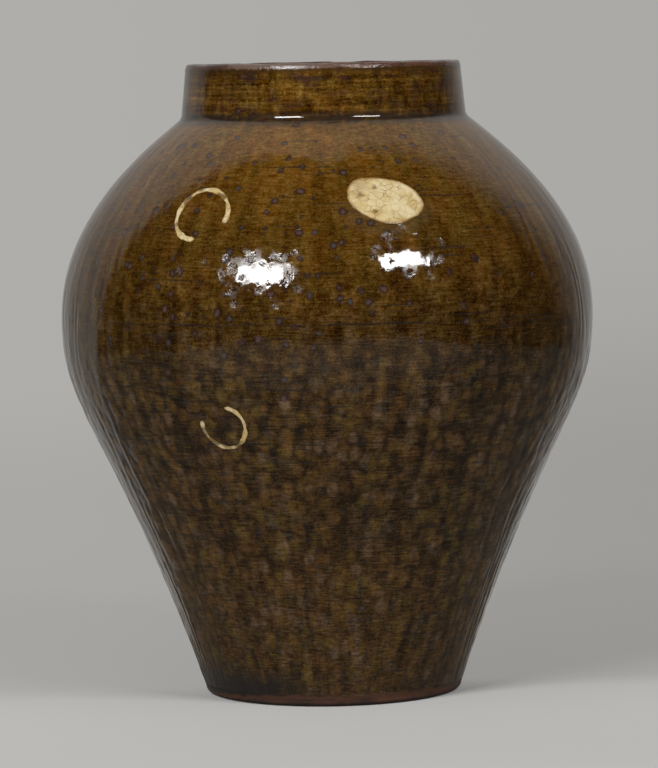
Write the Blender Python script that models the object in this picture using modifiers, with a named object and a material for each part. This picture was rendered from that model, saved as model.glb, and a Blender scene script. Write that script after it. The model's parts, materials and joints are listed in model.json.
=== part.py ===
"""Glazed stoneware storage jar, built up the way a potter builds a large one.

A thrown floor disc carries five wall sections and a neck collar. Each section sits on the one
below on a sloping scarf joint, inside low and outside high. A glaze coat covers the outside from
just above the foot to just below the lip, and a second coat lines the inside. Three marks of pale
slip are let into windows in the outer coat.

Units are metres, +Z is up, and the origin is the centre of the foot's resting plane. The front of
the jar faces -Y. Run it with: blender --background --python part.py
"""

import math
from dataclasses import dataclass
from functools import partial
from typing import Callable

import bmesh
import bpy
from mathutils import Matrix, Vector

# Outside form
JAR_HEIGHT = 0.330
BELLY_RADIUS = 0.1395
BELLY_HEIGHT = 0.198
FOOT_RADIUS = 0.0675
FOOT_ROUND = 0.003
NECK_HEIGHT = 0.0282
NECK_ROOT_RADIUS = 0.0746
NECK_ROOT_FILLET = 0.003
LIP_RADIUS = 0.0718

# How steeply the wall leaves the foot and meets the neck: radius gained for each unit of height
FOOT_SLOPE = 0.34
SHOULDER_SLOPE = -1.2

# Pull of the two wall curves at each of their ends, as shares of the height each curve spans
FOOT_PULL_SHARE = 0.765
UNDER_BELLY_PULL_SHARE = 0.263
OVER_BELLY_PULL_SHARE = 0.537
SHOULDER_PULL_SHARE = 0.146

# Thicknesses through the wall, from outside to inside, and the gap between touching solids
GLAZE_THICKNESS = 0.0008
CLAY_THICKNESS = 0.0058
LINING_THICKNESS = 0.0006
SEAT_GAP = 0.0003

# Where the wall sections are joined, measured on the outside, and how far each joint falls inwards
LOWER_JOINT_HEIGHT = 0.0905
MIDDLE_JOINT_HEIGHT = 0.1410
BELLY_JOINT_ABOVE_BELLY = 0.0035
NECK_JOINT_ABOVE_ROOT = 0.003
SCARF_DROP = 0.005

# Height of the shoulder's joint, as a share of the way from the belly's joint to the neck's root
SHOULDER_JOINT_SHARE = 0.471585

# Floor disc: bare edge under the glaze, resting ring, and the shallow hollow inside the ring
FLOOR_THICKNESS = 0.011
BARE_FOOT_HEIGHT = 0.0055
RESTING_RING_WIDTH = 0.014
HOLLOW_DEPTH = 0.0014
HOLLOW_RAMP = 0.004
COVE_RADIUS = 0.009

# Lip: the bare bead that closes off both coats
LIP_HEIGHT = 0.004
LIP_ROUND = 0.0018

# Marks of pale slip. An azimuth runs from the front towards +X, a turn from +X towards +Z.
DAB_WIDTH = 0.039
DAB_HEIGHT = 0.027
DAB_TILT = math.radians(-14)
DAB_AZIMUTH = math.radians(15)
DAB_BELOW_NECK = 0.040
LARGE_RING_RADIUS = 0.0145
LARGE_RING_STROKE = 0.0024
LARGE_RING_OPENING = math.radians(64)
LARGE_RING_TURN = math.radians(305)
LARGE_RING_AZIMUTH = math.radians(-31)
LARGE_RING_BELOW_NECK = 0.046
SMALL_RING_RADIUS = 0.0115
SMALL_RING_STROKE = 0.0020
SMALL_RING_OPENING = math.radians(80)
SMALL_RING_TURN = math.radians(120)
SMALL_RING_AZIMUTH = math.radians(-24)
SMALL_RING_BELOW_BELLY = 0.048
WINDOW_OVERRUN = 0.004

# How finely the round shapes are cut, and the edge angle from which shading breaks
SEGMENTS = 44
LOWER_CURVE_STEPS = 9
SHOULDER_CURVE_STEPS = 8
FILLET_STEPS = 2
ROUND_STEPS = 3
OVAL_POINTS = 28
ARC_POINTS = 18
CAP_POINTS = 4
SAME_POINT = 0.00002
HARD_EDGE = math.radians(40)

# Colours and roughnesses of the glaze, the clay and the slip
OLIVE_GLAZE = (0.098, 0.058, 0.014, 1.0)
LINING_GLAZE = (0.072, 0.044, 0.012, 1.0)
RED_CLAY = (0.128, 0.052, 0.028, 1.0)
PALE_SLIP = (0.76, 0.63, 0.34, 1.0)
GLOSSY_ROUGHNESS = 0.12
SATIN_ROUGHNESS = 0.32
MATT_ROUGHNESS = 0.82

# Depths under the outside face at which one layer ends and the next begins
CLAY_OUTER_DEPTH = GLAZE_THICKNESS + SEAT_GAP
CLAY_INNER_DEPTH = CLAY_OUTER_DEPTH + CLAY_THICKNESS
LINING_OUTER_DEPTH = CLAY_INNER_DEPTH + SEAT_GAP
LINING_INNER_DEPTH = LINING_OUTER_DEPTH + LINING_THICKNESS

# Heights that follow from the sizes above
NECK_ROOT_HEIGHT = JAR_HEIGHT - NECK_HEIGHT
BELLY_JOINT_HEIGHT = BELLY_HEIGHT + BELLY_JOINT_ABOVE_BELLY
OVER_BELLY_SPAN = NECK_ROOT_HEIGHT - BELLY_JOINT_HEIGHT
SHOULDER_JOINT_HEIGHT = BELLY_JOINT_HEIGHT + SHOULDER_JOINT_SHARE * OVER_BELLY_SPAN
NECK_JOINT_HEIGHT = NECK_ROOT_HEIGHT + NECK_JOINT_ABOVE_ROOT
LIP_BASE = JAR_HEIGHT - LIP_HEIGHT
GLAZE_BOTTOM = BARE_FOOT_HEIGHT + SEAT_GAP
GLAZE_TOP = LIP_BASE - SEAT_GAP
JOINT_GAP = SEAT_GAP * math.hypot(SCARF_DROP, CLAY_THICKNESS) / CLAY_THICKNESS


@dataclass(frozen=True)
class SlipMark:
    """A mark let into the outer coat: its place on the wall, its reach and its outline."""

    name: str
    azimuth: float
    height: float
    reach: float
    outline: Callable


def bezier(start, pull_start, pull_end, end, share):
    """Point and direction on a cubic curve from start to end, at a share of its way."""
    rest = 1 - share
    point = rest**3 * start + 3 * rest**2 * share * pull_start
    point = point + 3 * rest * share**2 * pull_end + share**3 * end
    along = rest**2 * (pull_start - start) + 2 * rest * share * (pull_end - pull_start)
    along = along + share**2 * (end - pull_end)
    return point, along.normalized()


def outward(along):
    """The outward normal of a wall that runs up in the given direction."""
    return Vector((along.y, -along.x))


def curve_samples(start, pull_start, pull_end, end, steps):
    """Points and outward normals along one wall curve, without its last point."""
    samples = []
    for step in range(steps):
        point, along = bezier(start, pull_start, pull_end, end, step / steps)
        samples.append((point, outward(along)))
    return samples


def outline():
    """Points and outward normals up the outside of the jar, from the foot to the lip's top."""
    foot = Vector((FOOT_RADIUS, FOOT_ROUND))
    belly = Vector((BELLY_RADIUS, BELLY_HEIGHT))
    corner = Vector((NECK_ROOT_RADIUS, NECK_ROOT_HEIGHT))
    lip = Vector((LIP_RADIUS, JAR_HEIGHT))
    up = Vector((0, 1))
    foot_way = Vector((FOOT_SLOPE, 1)).normalized()
    shoulder_way = Vector((SHOULDER_SLOPE, 1)).normalized()
    neck_way = (lip - corner).normalized()
    bend = shoulder_way.angle(neck_way)
    fillet_start = corner - shoulder_way * NECK_ROOT_FILLET * math.tan(bend / 2)
    lower_span = BELLY_HEIGHT - FOOT_ROUND
    upper_span = NECK_ROOT_HEIGHT - BELLY_HEIGHT

    samples = curve_samples(
        foot,
        foot + foot_way * FOOT_PULL_SHARE * lower_span,
        belly - up * UNDER_BELLY_PULL_SHARE * lower_span,
        belly,
        LOWER_CURVE_STEPS,
    )
    samples += curve_samples(
        belly,
        belly + up * OVER_BELLY_PULL_SHARE * upper_span,
        fillet_start - shoulder_way * SHOULDER_PULL_SHARE * upper_span,
        fillet_start,
        SHOULDER_CURVE_STEPS,
    )
    centre = fillet_start + outward(shoulder_way) * NECK_ROOT_FILLET
    for step in range(FILLET_STEPS + 1):
        normal = outward(shoulder_way).slerp(outward(neck_way), step / FILLET_STEPS)
        samples.append((centre - normal * NECK_ROOT_FILLET, normal))
    samples.append((lip, outward(neck_way)))
    return samples


OUTLINE = outline()


def radius_at(depth, height):
    """Radius of the face that lies at a depth under the outside, at a height."""
    face = [point - normal * depth for point, normal in OUTLINE]
    for below, above in zip(face, face[1:]):
        if height <= above.y:
            break
    share = (height - below.y) / (above.y - below.y)
    return below.x + share * (above.x - below.x)


def face_line(depth, low, high):
    """Points up the face that lies at a depth under the outside, between two heights."""
    face = [point - normal * depth for point, normal in OUTLINE]
    inside = [(p.x, p.y) for p in face if low + SAME_POINT < p.y < high - SAME_POINT]
    return [(radius_at(depth, low), low), *inside, (radius_at(depth, high), high)]


def arc(centre, radius, start, end, steps=ROUND_STEPS):
    """Points round an arc from one angle to another, both ends included."""
    points = []
    for step in range(steps + 1):
        angle = start + (end - start) * step / steps
        across = centre[0] + radius * math.cos(angle)
        points.append((across, centre[1] + radius * math.sin(angle)))
    return points


def cove(depth, floor_height, radius):
    """Points of the bend from the floor up into the inside face that lies at a depth."""
    foot = radius_at(depth, floor_height)
    slope = (radius_at(depth, floor_height + radius) - foot) / radius
    centre = (foot + radius * (slope - math.hypot(1, slope)), floor_height + radius)
    return arc(centre, radius, -math.pi / 2, -math.atan(slope))


def floor_disc_profile():
    """Half section of the floor disc: flat top, rebate for the coat, bare foot, hollow under."""
    top = face_line(CLAY_OUTER_DEPTH, BARE_FOOT_HEIGHT, FLOOR_THICKNESS)
    bare = face_line(0, FOOT_ROUND, BARE_FOOT_HEIGHT)
    edge = arc((FOOT_RADIUS - FOOT_ROUND, FOOT_ROUND), FOOT_ROUND, 0, -math.pi / 2)
    ring_inner = FOOT_RADIUS - FOOT_ROUND - RESTING_RING_WIDTH
    return [
        (0, FLOOR_THICKNESS),
        *reversed(top),
        *reversed(bare),
        *edge[1:],
        (ring_inner, 0),
        (ring_inner - HOLLOW_RAMP, HOLLOW_DEPTH),
        (0, HOLLOW_DEPTH),
    ]


def lower_wall_profile():
    """Half section of the lowest wall section, which turns in a cove where it meets the floor."""
    base = FLOOR_THICKNESS + SEAT_GAP
    outer = face_line(CLAY_OUTER_DEPTH, base, LOWER_JOINT_HEIGHT)
    bend = cove(CLAY_INNER_DEPTH, FLOOR_THICKNESS, COVE_RADIUS)[1:]
    inner = face_line(CLAY_INNER_DEPTH, bend[-1][1], LOWER_JOINT_HEIGHT - SCARF_DROP)
    return [*reversed(outer), (bend[0][0], base), *bend, *inner[1:]]


def wall_section_profile(joint, high):
    """Half section of a wall section from the joint under it to the joint over it."""
    low = joint + JOINT_GAP
    outer = face_line(CLAY_OUTER_DEPTH, low, high)
    inner = face_line(CLAY_INNER_DEPTH, low - SCARF_DROP, high - SCARF_DROP)
    return [*reversed(outer), *inner]


def neck_collar_profile():
    """Half section of the neck collar, whose bare lip stands out over both coats."""
    low = NECK_JOINT_HEIGHT + JOINT_GAP
    outer = face_line(CLAY_OUTER_DEPTH, low, LIP_BASE)
    inner = face_line(CLAY_INNER_DEPTH, low - SCARF_DROP, LIP_BASE)
    round_height = JAR_HEIGHT - LIP_ROUND
    outer_centre = (LIP_RADIUS - LIP_ROUND, round_height)
    inner_centre = (LIP_RADIUS - LINING_INNER_DEPTH + LIP_ROUND, round_height)
    return [
        *arc(outer_centre, LIP_ROUND, math.pi / 2, 0),
        (radius_at(0, LIP_BASE), LIP_BASE),
        *reversed(outer),
        *inner,
        (radius_at(LINING_INNER_DEPTH, LIP_BASE), LIP_BASE),
        *arc(inner_centre, LIP_ROUND, math.pi, math.pi / 2),
    ]


def outer_glaze_profile():
    """Half section of the outside coat, from the bare foot up to the bare lip."""
    outer = face_line(0, GLAZE_BOTTOM, GLAZE_TOP)
    inner = face_line(GLAZE_THICKNESS, GLAZE_BOTTOM, GLAZE_TOP)
    return [*reversed(outer), *inner]


def inner_glaze_profile():
    """Half section of the lining: a thin bowl over the floor and up the inside to the lip."""
    under = FLOOR_THICKNESS + SEAT_GAP
    over = under + LINING_THICKNESS
    under_radius = COVE_RADIUS - SEAT_GAP
    under_bend = cove(LINING_OUTER_DEPTH, under, under_radius)
    over_bend = cove(LINING_INNER_DEPTH, over, under_radius - LINING_THICKNESS)
    outer = face_line(LINING_OUTER_DEPTH, under_bend[-1][1], GLAZE_TOP)
    inner = face_line(LINING_INNER_DEPTH, over_bend[-1][1], GLAZE_TOP)
    return [
        (0, over),
        *over_bend,
        *inner[1:],
        *reversed(outer[1:]),
        *reversed(under_bend),
        (0, under),
    ]


def oval(width, height, tilt, grow):
    """Outline of an oval turned by a tilt, with its edge moved out by grow."""
    turn = Matrix.Rotation(tilt, 2)
    points = []
    for index in range(OVAL_POINTS):
        angle = 2 * math.pi * index / OVAL_POINTS
        across = (width / 2 + grow) * math.cos(angle)
        up = (height / 2 + grow) * math.sin(angle)
        points.append(turn @ Vector((across, up)))
    return points


def open_ring(radius, stroke, opening, turn, grow):
    """Outline of a ring drawn as one stroke with round ends, with its edge moved out by grow."""
    half = stroke / 2 + grow
    first = turn + opening / 2
    last = turn + 2 * math.pi - opening / 2
    first_centre = (radius * math.cos(first), radius * math.sin(first))
    last_centre = (radius * math.cos(last), radius * math.sin(last))
    outside = arc((0, 0), radius + half, first, last, ARC_POINTS)
    last_cap = arc(last_centre, half, last, last + math.pi, CAP_POINTS)
    inside = arc((0, 0), radius - half, last, first, ARC_POINTS)
    first_cap = arc(first_centre, half, first + math.pi, first + 2 * math.pi, CAP_POINTS)
    points = [*outside, *last_cap[1:-1], *inside, *first_cap[1:-1]]
    return [Vector(point) for point in points]


def slip_marks():
    """The three marks: a solid dab and two open brush rings."""
    dab = partial(oval, DAB_WIDTH, DAB_HEIGHT, DAB_TILT)
    large_ring = partial(
        open_ring, LARGE_RING_RADIUS, LARGE_RING_STROKE, LARGE_RING_OPENING, LARGE_RING_TURN
    )
    small_ring = partial(
        open_ring, SMALL_RING_RADIUS, SMALL_RING_STROKE, SMALL_RING_OPENING, SMALL_RING_TURN
    )
    dab_height = NECK_ROOT_HEIGHT - DAB_BELOW_NECK
    large_height = NECK_ROOT_HEIGHT - LARGE_RING_BELOW_NECK
    small_height = BELLY_HEIGHT - SMALL_RING_BELOW_BELLY
    large_reach = LARGE_RING_RADIUS + LARGE_RING_STROKE
    small_reach = SMALL_RING_RADIUS + SMALL_RING_STROKE
    return [
        SlipMark("slip_dab", DAB_AZIMUTH, dab_height, DAB_WIDTH / 2, dab),
        SlipMark("slip_ring_large", LARGE_RING_AZIMUTH, large_height, large_reach, large_ring),
        SlipMark("slip_ring_small", SMALL_RING_AZIMUTH, small_height, small_reach, small_ring),
    ]


def finish(name, colour, roughness):
    """A plain material with the colour and gloss of one layer of the jar."""
    material = bpy.data.materials.new(name)
    material.use_nodes = True
    shader = material.node_tree.nodes["Principled BSDF"]
    shader.inputs["Base Color"].default_value = colour
    shader.inputs["Roughness"].default_value = roughness
    shader.inputs["Metallic"].default_value = 0
    material.diffuse_color = colour
    return material


def new_collection(name):
    """A collection linked to the scene."""
    collection = bpy.data.collections.new(name)
    bpy.context.scene.collection.children.link(collection)
    return collection


def turned(name, profile, closed, material, collection):
    """A solid of revolution from (radius, height) points that run down its outer side."""
    mesh = bpy.data.meshes.new(name)
    edges = [(index, index + 1) for index in range(len(profile) - 1)]
    if closed:
        edges.append((len(profile) - 1, 0))
    mesh.from_pydata([(across, 0, up) for across, up in profile], edges, [])
    mesh.materials.append(material)
    solid = bpy.data.objects.new(name, mesh)
    collection.objects.link(solid)
    screw = solid.modifiers.new("turn", "SCREW")
    screw.axis = "Z"
    screw.steps = SEGMENTS
    screw.render_steps = SEGMENTS
    screw.use_merge_vertices = True
    screw.merge_threshold = SAME_POINT
    return solid


def evaluated_mesh(thing):
    """A new mesh of an object with its modifiers applied."""
    graph = bpy.context.evaluated_depsgraph_get()
    return bpy.data.meshes.new_from_object(thing.evaluated_get(graph))


def window_cutter(mark, grow, name, cutters):
    """A prism on a mark's outline, grown or shrunk, that runs through the front wall."""
    points = mark.outline(grow)
    flat = bpy.data.curves.new(name + "_outline", "CURVE")
    flat.dimensions = "2D"
    flat.fill_mode = "BOTH"
    flat.extrude = mark.reach + WINDOW_OVERRUN
    spline = flat.splines.new("POLY")
    spline.points.add(len(points) - 1)
    for spot, point in zip(spline.points, points):
        spot.co = (point.x, point.y, 0, 1)
    spline.use_cyclic_u = True
    guide = bpy.data.objects.new(name + "_outline", flat)
    cutters.objects.link(guide)

    mesh = evaluated_mesh(guide)
    build = bmesh.new()
    build.from_mesh(mesh)
    bmesh.ops.remove_doubles(build, verts=build.verts, dist=SAME_POINT)
    bmesh.ops.recalc_face_normals(build, faces=build.faces)
    build.to_mesh(mesh)
    build.free()
    bpy.data.objects.remove(guide)

    across = Vector((math.cos(mark.azimuth), math.sin(mark.azimuth), 0))
    outwards = Vector((math.sin(mark.azimuth), -math.cos(mark.azimuth), 0))
    cutter = bpy.data.objects.new(name, mesh)
    cutters.objects.link(cutter)
    place = Matrix((across, (0, 0, 1), outwards)).transposed().to_4x4()
    place.translation = outwards * radius_at(0, mark.height) + Vector((0, 0, mark.height))
    cutter.matrix_world = place
    cutter.hide_render = True
    cutter.display_type = "WIRE"
    return cutter


def cut(solid, cutter, operation):
    """Adds a Boolean with one cutter to a solid."""
    boolean = solid.modifiers.new(cutter.name, "BOOLEAN")
    boolean.operation = operation
    boolean.solver = "EXACT"
    boolean.object = cutter


def settle(solid):
    """Applies a solid's modifiers, and shades it smooth except at its hard edges."""
    mesh = evaluated_mesh(solid)
    mesh.shade_smooth()
    mesh.set_sharp_from_angle(angle=HARD_EDGE)
    solid.modifiers.clear()
    solid.data = mesh


def build_clay(parts):
    """The seven thrown pieces of bare clay, from the floor up."""
    clay = finish("stoneware", RED_CLAY, MATT_ROUGHNESS)
    middle = wall_section_profile(LOWER_JOINT_HEIGHT, MIDDLE_JOINT_HEIGHT)
    belly = wall_section_profile(MIDDLE_JOINT_HEIGHT, BELLY_JOINT_HEIGHT)
    upper = wall_section_profile(BELLY_JOINT_HEIGHT, SHOULDER_JOINT_HEIGHT)
    shoulder = wall_section_profile(SHOULDER_JOINT_HEIGHT, NECK_JOINT_HEIGHT)
    return [
        turned("floor_disc", floor_disc_profile(), False, clay, parts),
        turned("lower_wall", lower_wall_profile(), True, clay, parts),
        turned("middle_wall", middle, True, clay, parts),
        turned("belly_wall", belly, True, clay, parts),
        turned("upper_wall", upper, True, clay, parts),
        turned("shoulder_wall", shoulder, True, clay, parts),
        turned("neck_collar", neck_collar_profile(), True, clay, parts),
    ]


def build_outer_coat(parts, cutters):
    """The outside coat with its windows, and the slip marks that fill them."""
    slip = finish("pale_slip", PALE_SLIP, SATIN_ROUGHNESS)
    olive = finish("olive_glaze", OLIVE_GLAZE, GLOSSY_ROUGHNESS)
    coat = turned("outer_glaze", outer_glaze_profile(), True, olive, parts)
    pieces = [coat]
    for mark in slip_marks():
        cut(coat, window_cutter(mark, 0, mark.name + "_window", cutters), "DIFFERENCE")
        inlay = turned(mark.name, outer_glaze_profile(), True, slip, parts)
        edge = window_cutter(mark, -SEAT_GAP, mark.name + "_edge", cutters)
        cut(inlay, edge, "INTERSECT")
        pieces.append(inlay)
    return pieces


def build_lining(parts):
    """The coat over the floor and up the inside of the wall."""
    lining = finish("lining_glaze", LINING_GLAZE, GLOSSY_ROUGHNESS)
    return turned("inner_glaze", inner_glaze_profile(), False, lining, parts)


def main():
    """Clears the scene and builds the jar under one empty on its axis."""
    for thing in list(bpy.data.objects):
        bpy.data.objects.remove(thing)
    parts = new_collection("storage_jar")
    cutters = new_collection("cutters")
    pieces = build_clay(parts)
    pieces += build_outer_coat(parts, cutters)
    pieces.append(build_lining(parts))
    axis = bpy.data.objects.new("jar_axis", None)
    parts.objects.link(axis)
    bpy.context.view_layer.update()
    for piece in pieces:
        settle(piece)
        piece.parent = axis


main()
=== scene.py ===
"""Looks of a glazed stoneware storage jar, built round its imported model.

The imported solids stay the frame. The outer coat, the lining, the lip, the foot and the slip marks
are made again here as finely shaped pieces, and each stands for the solid of the same place. The
clay sections between the two coats stay as they are and only get a material.

Units are metres, +Z is up and the front of the jar faces -Y. Azimuths run from the front to +X.
Half sections are arrays of rows: radius, height, and the outward normal's radial and upward share.
"""

import functools
import json
import logging
import math
from dataclasses import asdict, dataclass
from enum import Enum
from typing import Any, Callable, Optional, Union

import bmesh
import bpy
import numpy as np
from mathutils import Matrix, Vector

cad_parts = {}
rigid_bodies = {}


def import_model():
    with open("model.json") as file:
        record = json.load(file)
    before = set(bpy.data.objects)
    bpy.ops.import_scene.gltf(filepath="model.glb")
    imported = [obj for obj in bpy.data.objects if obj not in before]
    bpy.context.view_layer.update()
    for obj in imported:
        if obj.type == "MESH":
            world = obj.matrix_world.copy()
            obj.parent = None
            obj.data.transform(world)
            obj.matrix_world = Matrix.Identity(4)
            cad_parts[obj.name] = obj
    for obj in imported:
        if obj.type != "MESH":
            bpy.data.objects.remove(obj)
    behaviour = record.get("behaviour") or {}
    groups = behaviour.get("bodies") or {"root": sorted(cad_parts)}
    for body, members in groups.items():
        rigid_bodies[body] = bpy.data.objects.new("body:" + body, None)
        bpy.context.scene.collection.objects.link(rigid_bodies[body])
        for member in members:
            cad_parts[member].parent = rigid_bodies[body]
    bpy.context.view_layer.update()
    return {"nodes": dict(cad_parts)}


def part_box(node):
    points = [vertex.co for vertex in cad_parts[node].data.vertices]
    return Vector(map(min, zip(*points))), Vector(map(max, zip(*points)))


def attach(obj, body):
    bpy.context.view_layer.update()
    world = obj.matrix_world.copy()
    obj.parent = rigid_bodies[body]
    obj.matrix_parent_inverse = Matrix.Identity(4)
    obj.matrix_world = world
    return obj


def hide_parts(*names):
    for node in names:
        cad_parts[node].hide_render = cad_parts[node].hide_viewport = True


LOG = logging.getLogger("jar")
CLAY_SECTIONS = ("lower_wall", "middle_wall", "belly_wall", "upper_wall", "shoulder_wall")
MM = 0.001
FULL_TURN = 2 * math.pi
EYE_GAMMA = 2.2
DOUBLES_DISTANCE = 0.000002
Colour = tuple[float, float, float, float]
Number = Union[float, "Value"]
ThreeValues = tuple["Value", "Value", "Value"]
ThreeArrays = tuple[np.ndarray, np.ndarray, np.ndarray]
Inputs = Optional[dict[Union[str, int], Any]]
Run = tuple[np.ndarray, float]


class Slot(Enum):
    """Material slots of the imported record."""

    CLAY = "bare_stoneware"
    OUTSIDE = "olive_glaze"
    INSIDE = "lining_glaze"
    SLIP = "pale_slip"


def operator(operation: str, swapped: bool = False) -> Callable[["Value", Number], "Value"]:
    """An arithmetic sign between a Value and a number or another Value, as one Math node."""

    def apply(self: "Value", other: Number) -> "Value":
        """Result of the operation, with its two terms swapped where that was asked for."""
        return self.nodes.math(operation, *((other, self) if swapped else (self, other)))

    return apply


class Value:
    """A node's output. Arithmetic and patterns on it add nodes to its own tree."""

    __add__ = __radd__ = operator("ADD")
    __sub__ = operator("SUBTRACT")
    __rsub__ = operator("SUBTRACT", swapped=True)
    __mul__ = __rmul__ = operator("MULTIPLY")
    __truediv__ = operator("DIVIDE")
    __rtruediv__ = operator("DIVIDE", swapped=True)

    def __init__(self, nodes: "Nodes", socket: bpy.types.NodeSocket) -> None:
        """Keeps the socket and the builder of its tree."""
        self.nodes = nodes
        self.socket = socket

    def math(self, operation: str, *terms: Number) -> "Value":
        """Result of a Math node with this value as its first term."""
        return self.nodes.math(operation, self, *terms)

    def larger(self, other: Number) -> "Value":
        """The larger of two values."""
        return self.math("MAXIMUM", other)

    def vector(self, operation: str, *terms: Any) -> "Value":
        """Vector result of a Vector Math node with this value as its first term."""
        values = dict(enumerate((self, *terms)))
        return self.nodes.get("ShaderNodeVectorMath", values, operation=operation)

    def scaled(self, factor: Number) -> "Value":
        """This vector times a number."""
        return self.nodes.get("ShaderNodeVectorMath", {0: self, "Scale": factor}, operation="SCALE")

    def split(self) -> ThreeValues:
        """The three numbers of this vector."""
        node = self.nodes.add("ShaderNodeSeparateXYZ", {0: self})
        return tuple(Value(self.nodes, socket) for socket in node.outputs)

    @property
    def z(self) -> "Value":
        """The third number of this vector."""
        return self.split()[2]

    def ease(self, low: float, high: float) -> "Value":
        """Runs smoothly from 0 at low to 1 at high, whichever of the two is larger."""
        values = {"Value": self, "From Min": low, "From Max": high}
        return self.nodes.get("ShaderNodeMapRange", values, interpolation_type="SMOOTHSTEP")

    def noise(self, scale: float, detail: float = 1.0, rough: float = 0.5) -> "Value":
        """Cloud noise at this vector, from 0 to 1 with a mean of one half.

        Args:
            scale: Features in each unit of the vector.
            detail: Number of finer layers added.
            rough: How strongly the finer layers count.
        """
        values = {"Vector": self, "Scale": scale, "Detail": detail, "Roughness": rough}
        return self.nodes.get("ShaderNodeTexNoise", values)

    def cells(self, scale: float) -> ThreeValues:
        """Scattered points: the distance to the nearest, and two random numbers that it carries."""
        node = self.nodes.add("ShaderNodeTexVoronoi", {"Vector": self, "Scale": scale})
        first, second, _ = Value(self.nodes, node.outputs["Color"]).split()
        return Value(self.nodes, node.outputs["Distance"]), first, second

    def shaken(self, scale: float, reach: float) -> "Value":
        """This vector moved about by a noise, so that a pattern on it loses its even shapes."""
        values = {"Vector": self, "Scale": scale, "Detail": 2.0}
        noise = self.nodes.get("ShaderNodeTexNoise", values, output="Color")
        return self.vector("ADD", noise.vector("SUBTRACT", (0.5, 0.5, 0.5)).scaled(reach))

    def blend(self, first: Any, second: Any) -> "Value":
        """Colour that goes from the first to the second as this goes from 0 to 1."""
        values = {0: self, 6: first, 7: second}
        return self.nodes.get("ShaderNodeMix", values, output=2, data_type="RGBA", clamp_factor=True)

    def under(self, *layers: tuple["Value", Any]) -> "Value":
        """This colour under others, laid on in turn, each with the share of it that covers."""
        colour = self
        for share, above in layers:
            colour = share.blend(colour, above)
        return colour

    def lightened(self, amount: "Value") -> "Value":
        """This colour moved up or down in lightness by even steps, as the eye sees them."""
        eye = self.nodes.get("ShaderNodeGamma", {0: self, 1: 1 / EYE_GAMMA})
        moved = eye.vector("ADD", amount).vector("MAXIMUM", (0.0, 0.0, 0.0))
        return self.nodes.get("ShaderNodeGamma", {0: moved, 1: EYE_GAMMA})


class Nodes:
    """Adds nodes to one tree, for geometry and for materials alike."""

    def __init__(self, tree: bpy.types.NodeTree) -> None:
        """Keeps the tree that the nodes go into, and the patterns already in it."""
        self.tree = tree
        self.patterns: dict[tuple[str, Value], Any] = {}

    def add(self, kind: str, values: Inputs = None, **settings: Any) -> bpy.types.Node:
        """Adds a node.

        Args:
            kind: Blender's name of the node type.
            values: A number, colour, text or Value for each input, by name or place.
            settings: Properties, set before the sockets are touched.

        Returns:
            The new node.
        """
        node = self.tree.nodes.new(kind)
        for name, setting in settings.items():
            setattr(node, name, setting)
        for key, value in (values or {}).items():
            if isinstance(value, Value):
                self.tree.links.new(value.socket, node.inputs[key])
            else:
                node.inputs[key].default_value = value
        return node

    def get(
        self, kind: str, values: Inputs = None, output: Union[str, int] = 0, **settings: Any
    ) -> Value:
        """Adds a node as add does, and returns one of its outputs."""
        return Value(self, self.add(kind, values, **settings).outputs[output])

    def math(self, operation: str, *terms: Number) -> Value:
        """Result of a Math node."""
        return self.get("ShaderNodeMath", dict(enumerate(terms)), operation=operation)

    def join(self, x: Number, y: Number, z: Number) -> Value:
        """A vector from three numbers."""
        return self.get("ShaderNodeCombineXYZ", {0: x, 1: y, 2: z})

    def rays(self) -> tuple[Value, Value]:
        """Whether a ray comes straight from the camera, and whether it is a mirrored one."""
        path = self.add("ShaderNodeLightPath")
        return Value(self, path.outputs["Is Camera Ray"]), Value(self, path.outputs["Is Glossy Ray"])


def shared(pattern: Callable[..., Any]) -> Callable[..., Any]:
    """Lets a pattern add its nodes only once for each place that it is read at."""

    @functools.wraps(pattern)
    def read(self: Any, at: Value) -> Any:
        """What the pattern returned before at this place, or its first result."""
        known, key = at.nodes.patterns, (pattern.__name__, at)
        if key not in known:
            known[key] = pattern(self, at)
        return known[key]

    return read


def arc(centre: Any, radius: float, start: float, end: float, steps: int) -> np.ndarray:
    """Rows round an arc, both ends included. A radius below 0 makes it hollow."""
    turns = np.linspace(start, end, steps + 1)
    normals = np.stack([np.cos(turns), np.sin(turns)], axis=1)
    return np.hstack([np.array(centre) + radius * normals, normals])


def line(start: tuple[float, float], end: tuple[float, float], steps: int) -> np.ndarray:
    """Rows along a straight line, both ends included."""
    first, last = np.array(start, float), np.array(end, float)
    way = (last - first) / np.linalg.norm(last - first)
    points = first + np.linspace(0, 1, steps + 1)[:, None] * (last - first)
    return np.hstack([points, np.tile([way[1], -way[0]], (steps + 1, 1))])


def flipped(rows: np.ndarray) -> np.ndarray:
    """Rows in the other order, with their normals turned round."""
    return rows[::-1] * (1, 1, -1, -1)


def way_along(rows: np.ndarray) -> np.ndarray:
    """Distance of each row from the first, measured along the rows."""
    return np.concatenate([[0], np.cumsum(np.hypot(*np.diff(rows[:, :2], axis=0).T))])


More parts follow.
